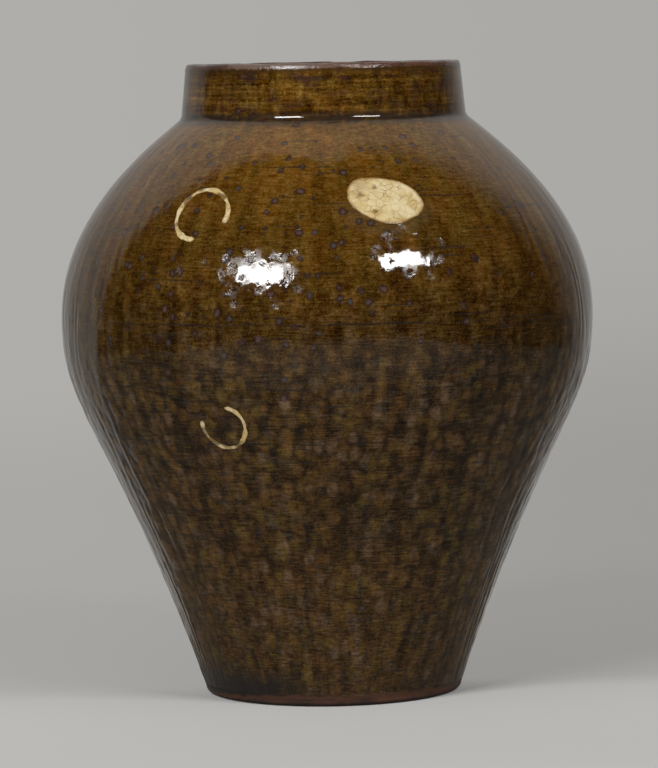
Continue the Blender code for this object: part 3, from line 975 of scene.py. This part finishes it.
@dataclass(frozen=True)
class FootFinish(Finish):
    """Bare clay under the jar and round its edge, with the outer glaze ending over it and a painted
    contact shadow along the bottom of the edge.
    """

    NAME = "foot_stoneware"
    SPECULAR = 0.35

    glaze: GlazeFinish
    clay: ClayFinish
    gloss: float = 0.38

    def layers(self, at: Value) -> ThreeValues:
        """Colour, roughness and fine height in metres."""
        x, y, z = at.split()
        glazed = self.glaze.over_line(at).ease(-0.0004, 0.0004)
        # Painted shadow: the clay darkens to ink where the rounded edge meets the floor.
        painted_contact_shadow = z.ease(0.0026, 0.0004) * (x * x + y * y).math("SQRT").ease(0.0640, 0.0655)
        clay = (painted_contact_shadow * 0.85).blend(self.clay.colour(at), self.glaze.ink)
        rough = (1 - glazed) * (self.clay.gloss - self.gloss) + self.gloss
        height = self.clay.grit(at) * (1 - glazed * 0.85)
        return glazed.blend(clay, self.glaze.colour(at)), rough, height


@dataclass(frozen=True)
class SlipFinish(Finish):
    """Cream slip under the clear glaze, crackled, with a soft stained edge."""

    NAME = "pale_slip"

    glaze: GlazeFinish
    cream: Colour = (0.640, 0.530, 0.315, 1)
    straw: Colour = (0.520, 0.385, 0.170, 1)
    stain: Colour = (0.230, 0.125, 0.030, 1)
    crack: Colour = (0.160, 0.090, 0.028, 1)
    crackle_size: float = 0.0042
    crack_depth: float = 0.00002

    def cracks(self, at: Value) -> Value:
        """The crackle: 1 in a crack, 0 between them."""
        drawn = at.shaken(300.0, 0.0016).vector("MULTIPLY", (1.0, 1.0, 1.25))
        values = {"Vector": drawn, "Scale": 1 / self.crackle_size}
        away = at.nodes.get("ShaderNodeTexVoronoi", values, feature="DISTANCE_TO_EDGE")
        return away.ease(0.075, 0.015)

    def layers(self, at: Value) -> ThreeValues:
        """Colour, roughness and fine height in metres."""
        inward, wear = (
            at.nodes.get("ShaderNodeAttribute", output="Fac", attribute_name=name)
            for name in ("inward", "wear")
        )
        depth = inward + (at.noise(380.0, 2.0, 0.6) - 0.5) * (wear * 0.7 + 0.5)
        cracks = self.cracks(at)
        faint = at.noise(190.0).ease(0.35, 0.65) * 0.50 + 0.16
        warm = at.noise(45.0, 2.0).ease(0.50, 0.66) * wear.ease(1.0, 0.5)
        slip = at.noise(130.0, 3.0, 0.6).ease(0.36, 0.64).blend(self.cream, self.straw).under(
            (cracks * faint, self.crack),
            (depth.ease(0.85, 0.30) * 0.85, self.stain),
            (warm * 0.45, self.stain),
            (self.glaze.relief.pits(at)[0] * 0.9, self.crack),
        )
        worn = at.noise(110.0, 2.0).ease(0.48, 0.60) * wear
        shown = depth.ease(0.14, 0.42) * (1 - worn * 0.75)
        rough = self.glaze.gloss + at.noise(60.0, 2.0) * 0.05
        height = self.glaze.bump(at) - cracks * shown * self.crack_depth
        return shown.blend(self.glaze.colour(at), slip), rough, height


def place_piece(mesh: bpy.types.Mesh, slot: Slot, *stands_for: str) -> bpy.types.Object:
    """Puts a finished mesh into the scene as a piece that rides on the jar's one body.

    Args:
        mesh: The mesh, in place.
        slot: The record's slot that it is finished from.
        stands_for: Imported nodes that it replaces.
    """
    piece = linked(mesh.name, mesh)
    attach(piece, "root")
    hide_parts(*stands_for)
    mesh.calc_loop_triangles()
    LOG.info("%s: %d triangles, slot %s", piece.name, len(mesh.loop_triangles), slot.value)
    return piece


def ring_mesh(
    name: str,
    rings: np.ndarray,
    material: bpy.types.Material,
    looped: bool,
    normals: Optional[np.ndarray] = None,
) -> bpy.types.Mesh:
    """Closes a stack of rings into a tube-like solid.

    Args:
        name: Name of the mesh.
        rings: Points by ring, by place round the ring, by X, Y and Z. The last ring joins the first.
        material: The finish.
        looped: Whether each ring closes on itself.
        normals: Shading normals of the same points, or none to leave them to the faces.
    """
    count, around = rings.shape[:2]
    columns = around if looped else around - 1
    ring, place = np.meshgrid(np.arange(count), np.arange(columns), indexing="ij")
    here, above = ring * around, (ring + 1) % count * around
    beside = (place + 1) % around
    corners = [here + place, here + beside, above + beside, above + place]
    faces = np.stack(corners, axis=-1).reshape(-1, 4)
    mesh = bpy.data.meshes.new(name)
    mesh.vertices.add(count * around)
    mesh.vertices.foreach_set("co", rings.astype(np.float32).ravel())
    mesh.loops.add(faces.size)
    mesh.loops.foreach_set("vertex_index", faces.astype(np.int32).ravel())
    mesh.polygons.add(len(faces))
    mesh.polygons.foreach_set("loop_start", np.arange(0, faces.size, 4, dtype=np.int32))
    mesh.update(calc_edges=True)
    mesh.validate()
    mesh.shade_smooth()
    mesh.materials.append(material)
    if normals is not None:
        mesh.normals_split_custom_set_from_vertices(normals.reshape(-1, 3).tolist())
    return mesh


def close_mesh(mesh: bpy.types.Mesh) -> None:
    """Merges doubles, fills open ends and turns every face outwards."""
    edit = bmesh.new()
    edit.from_mesh(mesh)
    bmesh.ops.remove_doubles(edit, verts=edit.verts, dist=DOUBLES_DISTANCE)
    border = [edge for edge in edit.edges if edge.is_boundary]
    if border:
        bmesh.ops.holes_fill(edit, edges=border, sides=0)
    bmesh.ops.recalc_face_normals(edit, faces=edit.faces)
    edit.to_mesh(mesh)
    edit.free()
    mesh.shade_smooth()
    mesh.update()


def grid_normals(points: np.ndarray) -> np.ndarray:
    """Unit normals of a grid of points whose rings close on themselves."""
    across = np.roll(points, -1, axis=1) - np.roll(points, 1, axis=1)
    normals = np.cross(across, np.gradient(points, axis=0))
    return normals / np.maximum(np.linalg.norm(normals, axis=2, keepdims=True), 1e-12)


@dataclass
class OuterCoat:
    """The glaze on the outside, from the bare foot to the lip, made in six bands."""

    wall: Wall
    bottom: float
    bare_lip: float = 0.0037
    thickness: float = 0.0008
    edge_round: float = 0.0006
    edge_steps: int = 4
    spacing: float = 0.00112
    neck_spacing: float = 0.00048
    neck_start: float = 0.2960
    inner_steps: int = 10
    turning: Turning = Turning(
        divisions=960, closed=0,
        rib_depth=0.00015, dapple_depth=0.00020, wave_depth=0.00022, throwing_depth=0.000025,
    )
    bands: tuple[tuple[str, float], ...] = (
        ("coat_lower", 0.0905),
        ("coat_middle", 0.1410),
        ("coat_belly", 0.2015),
        ("coat_upper", 0.2488),
        ("coat_shoulder", 0.2960),
        ("coat_neck", 1.0),
    )

    def surface(self, tree: TurnedTree, material: bpy.types.Material) -> None:
        """Makes the whole outer face once and keeps its points and normals by row."""
        top = self.wall.height - self.bare_lip
        body = self.wall.face(0.0, self.bottom + self.edge_round, self.neck_start, self.spacing)
        neck = self.wall.face(0.0, self.neck_start, top, self.neck_spacing)
        point, (outward, upward) = body[0, :2], body[0, 2:]
        centre = point - body[0, 2:] * self.edge_round
        start, end = math.atan2(-outward, upward), math.atan2(upward, outward)
        edge = arc(centre, self.edge_round, start, end, self.edge_steps)
        self.section = np.vstack([edge[:-1], body, neck[1:]])
        whole = tree.mesh("coat_whole", self.turning, material, (self.section, 1.0))
        count = len(whole.vertices)
        points, place = np.zeros(count * 3, np.float32), np.zeros(count, np.int32)
        whole.vertices.foreach_get("co", points)
        whole.attributes["place"].data.foreach_get("value", place)
        grid = np.zeros((len(self.section) * self.turning.divisions, 3))
        grid[place] = points.reshape(-1, 3)
        self.points = grid.reshape(len(self.section), -1, 3)
        self.normals = grid_normals(self.points)
        bpy.data.meshes.remove(whole)

    def inner(self, first: int, last: int) -> tuple[np.ndarray, np.ndarray]:
        """Rings and normals of a band's hidden side, from its top row down to its bottom row."""
        rows = np.unique(np.linspace(first, last, self.inner_steps + 1).round().astype(int))[::-1]
        radius, height = (self.section[rows, :2] - self.section[rows, 2:] * self.thickness).T
        turns = np.linspace(0, FULL_TURN, self.turning.divisions, endpoint=False)
        x, y = np.outer(radius, np.sin(turns)), -np.outer(radius, np.cos(turns))
        rings = np.stack([x, y, np.outer(height, np.ones_like(turns))], axis=2)
        return rings, -grid_normals(rings[::-1])[::-1]

    def build(self, tree: TurnedTree, finish: Finish) -> None:
        """Makes the bands from the foot up, with the tree and their finish."""
        material = finish.material()
        self.surface(tree, material)
        first = 0
        for name, top in self.bands:
            above = np.nonzero(self.section[:, 1] >= top)[0]
            last = int(above[0]) if len(above) else len(self.section) - 1
            hidden, hidden_normals = self.inner(first, last)
            rings = np.concatenate([self.points[first : last + 1], hidden])
            normals = np.concatenate([self.normals[first : last + 1], hidden_normals])
            mesh = ring_mesh(name, rings, material, looped=True, normals=normals)
            place_piece(mesh, Slot.OUTSIDE, "outer_glaze")
            first = last

    def at(self, azimuth: np.ndarray, height: np.ndarray, raised: np.ndarray) -> np.ndarray:
        """Points over the finished outer face.

        Args:
            azimuth: Angles from the front.
            height: Heights over the foot, read on the smooth outline.
            raised: Distance over the face.
        """
        divisions = self.turning.divisions
        row = np.interp(height, self.section[:, 1], np.arange(len(self.section)))
        column = (azimuth / FULL_TURN * divisions) % divisions
        r0, c0 = np.floor(row).astype(int), np.floor(column).astype(int)
        r1, c1 = np.minimum(r0 + 1, len(self.section) - 1), (c0 + 1) % divisions
        fr, fc = (row - r0)[..., None], (column - c0)[..., None]
        c0 = c0 % divisions

        def read(grid: np.ndarray) -> np.ndarray:
            """Values between the four nearest grid points."""
            low = grid[r0, c0] * (1 - fc) + grid[r0, c1] * fc
            high = grid[r1, c0] * (1 - fc) + grid[r1, c1] * fc
            return low * (1 - fr) + high * fr

        return read(self.points) + read(self.normals) * raised[..., None]


class TurnedPiece:
    """A closed piece that the tree turns in one go."""

    NAME = "piece"
    SLOT = Slot.CLAY
    NODE = "node"
    turning: Turning

    def runs(self) -> list[Run]:
        """The half section in runs, up the outside first: 1 where the skin is roughened."""
        raise NotImplementedError

    def build(self, tree: TurnedTree, finish: Finish) -> bpy.types.Object:
        """Makes the piece with the tree and its finish."""
        mesh = tree.mesh(self.NAME, self.turning, finish.material(), *self.runs())
        return place_piece(mesh, self.SLOT, self.NODE)


@dataclass
class Lining(TurnedPiece):
    """The glaze on the inside: floor, cove and wall up to the lip."""

    NAME = "lining"
    SLOT = Slot.INSIDE
    NODE = "inner_glaze"

    wall: Wall
    floor: float = 0.0113
    top: float = 0.3262
    outer_depth: float = 0.0072
    inner_depth: float = 0.0079
    cove_radius: float = 0.009
    cove_steps: int = 8
    floor_steps: int = 20
    hidden_steps: int = 3
    spacing: float = 0.0022
    hidden_spacing: float = 0.0088
    turning: Turning = Turning(416, seed=11, wave_depth=0.00010, throwing_depth=0.00005)

    def runs(self) -> list[Run]:
        """The hidden side from the middle of the floor to the lip, and the glazed side back."""
        thickness = self.inner_depth - self.outer_depth
        over = self.floor + thickness
        under_bend = self.bend(self.outer_depth, self.floor, self.cove_radius)
        over_bend = self.bend(self.inner_depth, over, self.cove_radius - thickness)
        outer = self.wall.face(self.outer_depth, under_bend[-1, 1], self.top, self.hidden_spacing)
        inner = self.wall.face(self.inner_depth, over_bend[-1, 1], self.top, self.spacing)
        under_floor = line((0, self.floor), (under_bend[0, 0], self.floor), self.hidden_steps)
        over_floor = line((over_bend[0, 0], over), (0, over), self.floor_steps)
        hidden = np.vstack([under_floor[:-1], under_bend, outer[1:]])
        seen = np.vstack([flipped(inner), flipped(over_bend)[1:], over_floor[1:]])
        return [(hidden, 0.0), (seen, 1.0)]

    def bend(self, depth: float, floor: float, radius: float) -> np.ndarray:
        """The cove from the floor into the wall's face at a depth, with normals into the clay."""
        low = self.wall.face(depth, floor, floor + radius, radius)
        foot, high = low[0, 0], low[-1, 0]
        slope = (high - foot) / radius
        centre = (foot + radius * (slope - math.hypot(1, slope)), floor + radius)
        return arc(centre, radius, -math.pi / 2, -math.atan(slope), self.cove_steps)


@dataclass
class Lip(TurnedPiece):
    """The neck's clay collar with its rounded bare lip."""

    NAME = "lip_and_collar"
    NODE = "neck_collar"

    wall: Wall
    base: float = 0.326
    low: float = 0.3055
    outer_depth: float = 0.0011
    inner_depth: float = 0.0069
    seat: float = 0.0078
    rounding: float = 0.0019
    round_steps: int = 8
    spacing: float = 0.0005
    hidden_spacing: float = 0.004
    turning: Turning = Turning(
        512, seed=5, wave_depth=0.00012, throwing_depth=0.00003, rise_depth=0.00060
    )

    def runs(self) -> list[Run]:
        """Up the hidden outside, over the bare lip and down the hidden inside."""
        wall, top = self.wall, self.wall.height - self.rounding
        right, left = wall.lip_radius - self.rounding, wall.lip_radius - self.seat + self.rounding
        outside = wall.face(self.outer_depth, self.low, self.base, self.hidden_spacing)
        inside = wall.face(self.inner_depth, self.low, self.base, self.hidden_spacing)
        seen = [
            wall.face(0.0, self.base, top, self.spacing)[:-1],
            arc((right, top), self.rounding, 0, math.pi / 2, self.round_steps),
            line((right, wall.height), (left, wall.height), self.round_steps)[1:-1],
            arc((left, top), self.rounding, math.pi / 2, math.pi, self.round_steps),
            flipped(wall.face(self.seat, self.base, top, self.spacing))[1:],
        ]
        return [(outside, 0.0), (np.vstack(seen), 1.0), (flipped(inside), 0.0)]


@dataclass
class Foot(TurnedPiece):
    """The floor disc with its bare edge, its resting ring and the hollow inside it."""

    NAME = "foot_and_floor"
    NODE = "floor_disc"

    wall: Wall
    thickness: float = 0.011
    bare_height: float = 0.0062
    outer_depth: float = 0.0011
    ring_width: float = 0.014
    hollow_depth: float = 0.0014
    hollow_ramp: float = 0.004
    hollow_steps: int = 40
    ramp_steps: int = 8
    ring_steps: int = 16
    edge_steps: int = 10
    top_steps: int = 6
    spacing: float = 0.0005
    hidden_spacing: float = 0.002
    turning: Turning = Turning(512, seed=8, wave_depth=0.00012)

    def runs(self) -> list[Run]:
        """From the middle of the underside round the edge and back over the hidden top."""
        wall, rounding = self.wall, self.wall.foot_round
        rim = wall.foot_radius - rounding
        ring_inner = rim - self.ring_width
        hollow = ring_inner - self.hollow_ramp
        ramp = line((hollow, self.hollow_depth), (ring_inner, 0), self.ramp_steps)
        ramp[:, 2:] = (0, -1)
        outside = wall.face(self.outer_depth, self.bare_height, self.thickness, self.hidden_spacing)
        return [
            (line((0, self.hollow_depth), (hollow, self.hollow_depth), self.hollow_steps), 1.0),
            (ramp[1:-1], 1.0),
            (line((ring_inner, 0), (rim, 0), self.ring_steps), 0.0),
            (arc((rim, rounding), rounding, -math.pi / 2, 0, self.edge_steps)[1:], 1.0),
            (wall.face(0.0, rounding, self.bare_height, self.spacing)[1:], 1.0),
            (outside, 0.0),
            (line((outside[-1, 0], self.thickness), (0, self.thickness), self.top_steps)[1:], 0.0),
        ]


def sines_along(turns: np.ndarray, *sines: tuple[float, float, float]) -> np.ndarray:
    """Sum of sines along turns, each given by its reach, its count and where it starts."""
    return sum(reach * np.sin(count * turns + start) for reach, count, start in sines)


@dataclass(frozen=True)
class Mark:
    """A mark of pale slip: where it lies on the wall and which solid it stands for.

    Angles are in degrees. A mark with no wear is solid, and its rings close on themselves.
    """

    WEAR = 0.0

    name: str
    node: str
    azimuth: float
    height: float

    def grid(self) -> ThreeArrays:
        """The mark by ring and by place round the ring.

        Returns:
            Distances to the right of its middle and above it along the wall, and how far each
            point lies in from the slip's edge, from 0 to 1.
        """
        raise NotImplementedError


@dataclass(frozen=True)
class Dab(Mark):
    """A solid oval with an uneven edge, on rings from its edge to its middle."""

    PLACES = 180
    RINGS = 14
    EDGE_SHARE = 1.05
    RAMP_SHARE = 0.16

    half_width: float
    half_height: float
    tilt: float

    def grid(self) -> ThreeArrays:
        """The mark by ring and by place round the ring."""
        turns = np.linspace(0, FULL_TURN, self.PLACES, endpoint=False)
        uneven = 1 + sines_along(turns, (0.022, 3, 0.4), (0.016, 5, 2.1), (0.007, 11, 0.0))
        outer, inner = np.linspace(self.EDGE_SHARE, 0.75, self.RINGS), np.linspace(0.70, 0.0, self.RINGS)
        shares = np.concatenate([outer, inner])[:, None]
        x = shares * np.cos(turns) * uneven * self.half_width
        y = shares * np.sin(turns) * uneven * self.half_height
        cosine, sine = math.cos(math.radians(self.tilt)), math.sin(math.radians(self.tilt))
        inward = np.clip((self.EDGE_SHARE - shares) / self.RAMP_SHARE, 0, 1) * np.ones_like(turns)
        return x * cosine - y * sine, x * sine + y * cosine, inward


@dataclass(frozen=True)
class BrushRing(Mark):
    """An open ring drawn as one stroke that swells and thins."""

    WEAR = 1.0
    PLACES = 260
    ROWS = 15
    HALF_SHARE = 0.56
    ROUND_END_SHARE = 0.035
    RAMP_SHARE = 0.55
    END_RAMP_SHARE = 0.03

    radius: float
    stroke: float
    opening: float
    turn: float

    def grid(self) -> ThreeArrays:
        """The mark by ring and by place round the ring."""
        half_gap = self.opening / 2
        turns = np.linspace(*np.radians((self.turn + half_gap, self.turn + 360 - half_gap)), self.PLACES)
        share = np.linspace(0, 1, self.PLACES)
        to_end = np.minimum(share, 1 - share)
        swell = 1.05 + sines_along(share * math.pi, (0.28, 7, 0.6), (0.14, 19, 0.0))
        rounded = np.sqrt(np.clip(to_end / self.ROUND_END_SHARE, 0.02, 1))
        across = np.linspace(1, -1, self.ROWS)[:, None]
        middle = self.radius * (1 + sines_along(share * math.pi, (0.03, 5, 1.0)))
        radius = middle + across * self.stroke * self.HALF_SHARE * swell * rounded
        inward = np.clip((1 - np.abs(across)) / self.RAMP_SHARE, 0, 1)
        inward = inward * np.clip(to_end / self.END_RAMP_SHARE, 0, 1)
        return radius * np.cos(turns), radius * np.sin(turns), inward


@dataclass
class SlipMarks:
    """The three marks of slip, laid on the finished coat with edges that sink into it."""

    coat: OuterCoat
    crown: float = 0.00010
    sink: float = 0.00035
    depth: float = 0.0005
    edge_share: float = 0.3
    marks: tuple[Mark, ...] = (
        Dab(
            "slip_dab_mark", "slip_dab", azimuth=15, height=0.2618,
            half_width=0.0195, half_height=0.0135, tilt=-14,
        ),
        BrushRing(
            "slip_ring_large_mark", "slip_ring_large", azimuth=-31, height=0.2558,
            radius=0.0145, stroke=0.0026, opening=64, turn=305,
        ),
        BrushRing(
            "slip_ring_small_mark", "slip_ring_small", azimuth=-24, height=0.150,
            radius=0.0115, stroke=0.0021, opening=80, turn=120,
        ),
    )

    def laid(self, mark: Mark, across: np.ndarray, up: np.ndarray, raised: np.ndarray) -> np.ndarray:
        """Points on the coat at distances from a mark's middle, measured along the wall."""
        section = self.coat.section
        way = way_along(section)
        middle = np.interp(mark.height, section[:, 1], way)
        height = np.interp(middle + up, way, section[:, 1])
        radius = np.interp(height, section[:, 1], section[:, 0])
        return self.coat.at(math.radians(mark.azimuth) + across / radius, height, raised)

    def build(self, finish: Finish) -> None:
        """Closes each mark's upper and lower face into one piece."""
        material = finish.material()
        for mark in self.marks:
            across, up, inward = mark.grid()
            ramp = np.clip(inward / self.edge_share, 0, 1)
            raised = (self.sink + self.crown) * ramp * ramp * (3 - 2 * ramp) - self.sink
            upper = self.laid(mark, across, up, raised)
            lower = self.laid(mark, across, up, np.full_like(inward, -self.sink - self.depth))
            rings = np.concatenate([upper, lower[::-1]])
            mesh = ring_mesh(mark.name, rings, material, looped=mark.WEAR == 0)
            keep_numbers(mesh, "inward", np.concatenate([inward, inward[::-1]]))
            keep_numbers(mesh, "wear", np.full(2 * inward.size, mark.WEAR))
            close_mesh(mesh)
            place_piece(mesh, Slot.SLIP, mark.node)


@dataclass(frozen=True)
class SoftBox:
    """An area lamp that faces the point it is aimed at, with the way from there to the lamp."""

    name: str
    aim: tuple[float, float, float]
    way: tuple[float, float, float]
    width: float
    height: float
    power: float
    distance: float = 2.0

    def build(self) -> None:
        """Puts the lamp into the scene."""
        data = bpy.data.lights.new(self.name, "AREA")
        data.shape = "RECTANGLE"
        data.size = self.width
        data.size_y = self.height
        data.energy = self.power
        lamp = linked(self.name, data)
        way = Vector(self.way)
        lamp.location = Vector(self.aim) + way.normalized() * self.distance
        lamp.rotation_mode = "QUATERNION"
        lamp.rotation_quaternion = way.to_track_quat("Z", "Y")


@dataclass
class Studio:
    """The pale floor, the plain light and the camera."""

    camera_place: tuple[float, float, float] = (0.0, -2.2, 0.34)
    camera_tilt: float = math.radians(4.65)
    camera_roll: float = math.radians(-1.05)
    camera_shift: float = 0.0007
    camera_reach: float = 100.0
    sensor_width: float = 36.0
    lens: float = 196.5
    floor_half: float = 30.0
    pale_left: Colour = (0.37, 0.367, 0.355, 1)
    pale_right: Colour = (0.205, 0.195, 0.180, 1)
    pale_high: Colour = (0.54, 0.537, 0.523, 1)
    floor_near: Colour = (0.544, 0.539, 0.524, 1)
    floor_far: Colour = (0.616, 0.611, 0.594, 1)
    back_left_high: Colour = (0.426, 0.420, 0.405, 1)
    back_left_low: Colour = (0.399, 0.394, 0.379, 1)
    back_right_high: Colour = (0.405, 0.400, 0.385, 1)
    back_right_low: Colour = (0.342, 0.334, 0.320, 1)
    dark: Colour = (0.022, 0.020, 0.018, 1)
    table_sheen: Colour = (0.135, 0.130, 0.120, 1)
    table_far: Colour = (0.30, 0.290, 0.270, 1)
    fill: Colour = (0.26, 0.26, 0.26, 1)
    lamps: tuple[SoftBox, ...] = (
        SoftBox(
            "soft_box_left", aim=(-0.0305, -0.1311, 0.2284), way=(-0.436, -0.716, 0.544),
            width=0.73, height=0.45, power=28.5,
        ),
        SoftBox(
            "soft_box_right", aim=(0.0372, -0.1275, 0.2327), way=(0.499, -0.608, 0.597),
            width=0.69, height=0.27, power=16.5,
        ),
    )

    def camera(self) -> None:
        """Sets the camera at the photograph's viewing angle."""
        data = bpy.data.cameras.new("camera")
        data.sensor_width = self.sensor_width
        data.lens = self.lens
        data.shift_x = self.camera_shift
        data.clip_end = self.camera_reach
        camera = linked("camera", data)
        level = Matrix.Rotation(math.pi / 2 - self.camera_tilt, 4, "X")
        turned = level @ Matrix.Rotation(self.camera_roll, 4, "Z")
        camera.matrix_world = Matrix.Translation(self.camera_place) @ turned
        bpy.context.scene.camera = camera

    def backdrop(self, slant: Value, drop: Value) -> Value:
        """Colour of the plain background, by how far a direction points right and down."""
        left = drop.ease(0.078, 0.108).blend(self.back_left_high, self.back_left_low)
        right = drop.ease(0.045, 0.105).blend(self.back_right_high, self.back_right_low)
        return slant.ease(-0.08, 0.08).blend(left, right)

    def mirrored(self, east: Value, north: Value) -> Value:
        """How pale the room is in a level direction: 1 behind the jar, 0 in front."""
        soft = east.ease(0.0, 0.3) * 0.22 + 0.20
        return ((north - 0.32) / soft).ease(0.0, 1.0)

    def room(self, east: Value) -> Value:
        """Colour of the pale room that the glaze mirrors in a level direction."""
        return east.ease(0.45, 0.95).blend(self.pale_left, self.pale_right)

    def world(self) -> None:
        """A plain pale room behind, a dark room in front as the glaze mirrors it, and an even fill."""
        world = bpy.data.worlds.new("room")
        world.use_nodes = True
        world.node_tree.nodes.clear()
        nodes = Nodes(world.node_tree)
        east, north, up = nodes.get("ShaderNodeTexCoord", output="Generated").split()
        level = (1 - up * up).larger(0.0001).math("SQRT")
        room = up.ease(0.20, 0.62).blend(self.room(east), self.pale_high)
        seen = self.mirrored(east / level, north / level).blend(self.dark, room)
        back = self.backdrop(east / north.larger(0.2), up * -1.0 / level)
        from_camera, glossy = nodes.rays()
        colour = from_camera.blend(glossy.blend(self.fill, seen), back)
        glow = nodes.get("ShaderNodeBackground", {"Color": colour, "Strength": 1.0})
        nodes.add("ShaderNodeOutputWorld", {"Surface": glow})
        bpy.context.scene.world = world

    def floor(self) -> None:
        """The pale floor, whose mirror image in the glaze ends where a table would."""
        half = self.floor_half
        mesh = bpy.data.meshes.new("floor")
        corners = [(-half, -half, 0), (half, -half, 0), (half, half, 0), (-half, half, 0)]
        mesh.from_pydata(corners, [], [(0, 1, 2, 3)])
        floor = linked("floor", mesh)
        material, nodes, at = new_material("floor")
        mesh.materials.append(material)
        x, y, _ = at.split()
        away = (x * x + y * y + 1e-6).math("SQRT")
        table = x.math("ABSOLUTE").ease(1.20, 0.90) * y.ease(-2.10, -1.30)
        sheen = y.ease(-0.30, -0.52).blend(self.table_sheen, self.table_far)
        sheen = table.blend(self.dark, sheen)
        sheen = self.mirrored(x / away, y / away).blend(sheen, self.room(x / away))
        matt = y.ease(-0.26, -0.05).blend(self.floor_near, self.floor_far)
        forward = (y - self.camera_place[1]).larger(0.5)
        back = self.backdrop(x / forward, self.camera_place[2] / forward)
        from_camera, glossy = nodes.rays()
        far = (y - x * 0.06).ease(-0.032, 0.024) * 0.64 + y.ease(0.10, 0.75) * 0.36
        far = far.larger(away.ease(1.0, 3.0)) * from_camera
        matt = nodes.get("ShaderNodeBsdfDiffuse", {"Color": matt})
        sheen, back = (
            nodes.get("ShaderNodeEmission", {"Color": colour, "Strength": 1.0}) for colour in (sheen, back)
        )
        seen = nodes.get("ShaderNodeMixShader", {0: far, 1: matt, 2: back})
        shown = nodes.get("ShaderNodeMixShader", {0: glossy, 1: seen, 2: sheen})
        nodes.add("ShaderNodeOutputMaterial", {"Surface": shown})

    def build(self) -> None:
        """Sets up the whole studio."""
        self.camera()
        for lamp in self.lamps:
            lamp.build()
        self.world()
        self.floor()
        bpy.context.scene.view_settings.view_transform = "Standard"


def clear_scene() -> None:
    """Takes out whatever the empty file starts with."""
    for thing in list(bpy.data.objects):
        bpy.data.objects.remove(thing)


def main() -> None:
    """Builds every sub-assembly in order and reports each piece."""
    logging.basicConfig(level=logging.INFO, format="%(name)s: %(message)s")
    clear_scene()
    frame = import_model()

    low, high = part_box("outer_glaze")
    wall = Wall(height=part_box("neck_collar")[1].z, belly_radius=high.x)
    relief = Relief(wall)
    tree = TurnedTree(relief)
    glaze = GlazeFinish(relief)
    bare = ClayFinish()
    clay = bare.material()

    for name in CLAY_SECTIONS:
        solid = frame["nodes"][name]
        solid.data.materials.clear()
        solid.data.materials.append(clay)
        LOG.info("%s: packed solid, dressed in bare clay", name)

    coat = OuterCoat(wall, bottom=low.z)
    coat.build(tree, glaze)
    Lining(wall).build(tree, LiningFinish(relief))
    Lip(wall).build(tree, LipFinish(glaze))
    Foot(wall).build(tree, FootFinish(glaze, bare))
    SlipMarks(coat).build(SlipFinish(glaze))
    Studio().build()
    bpy.context.view_layer.update()


if __name__ == "__main__":
    main()
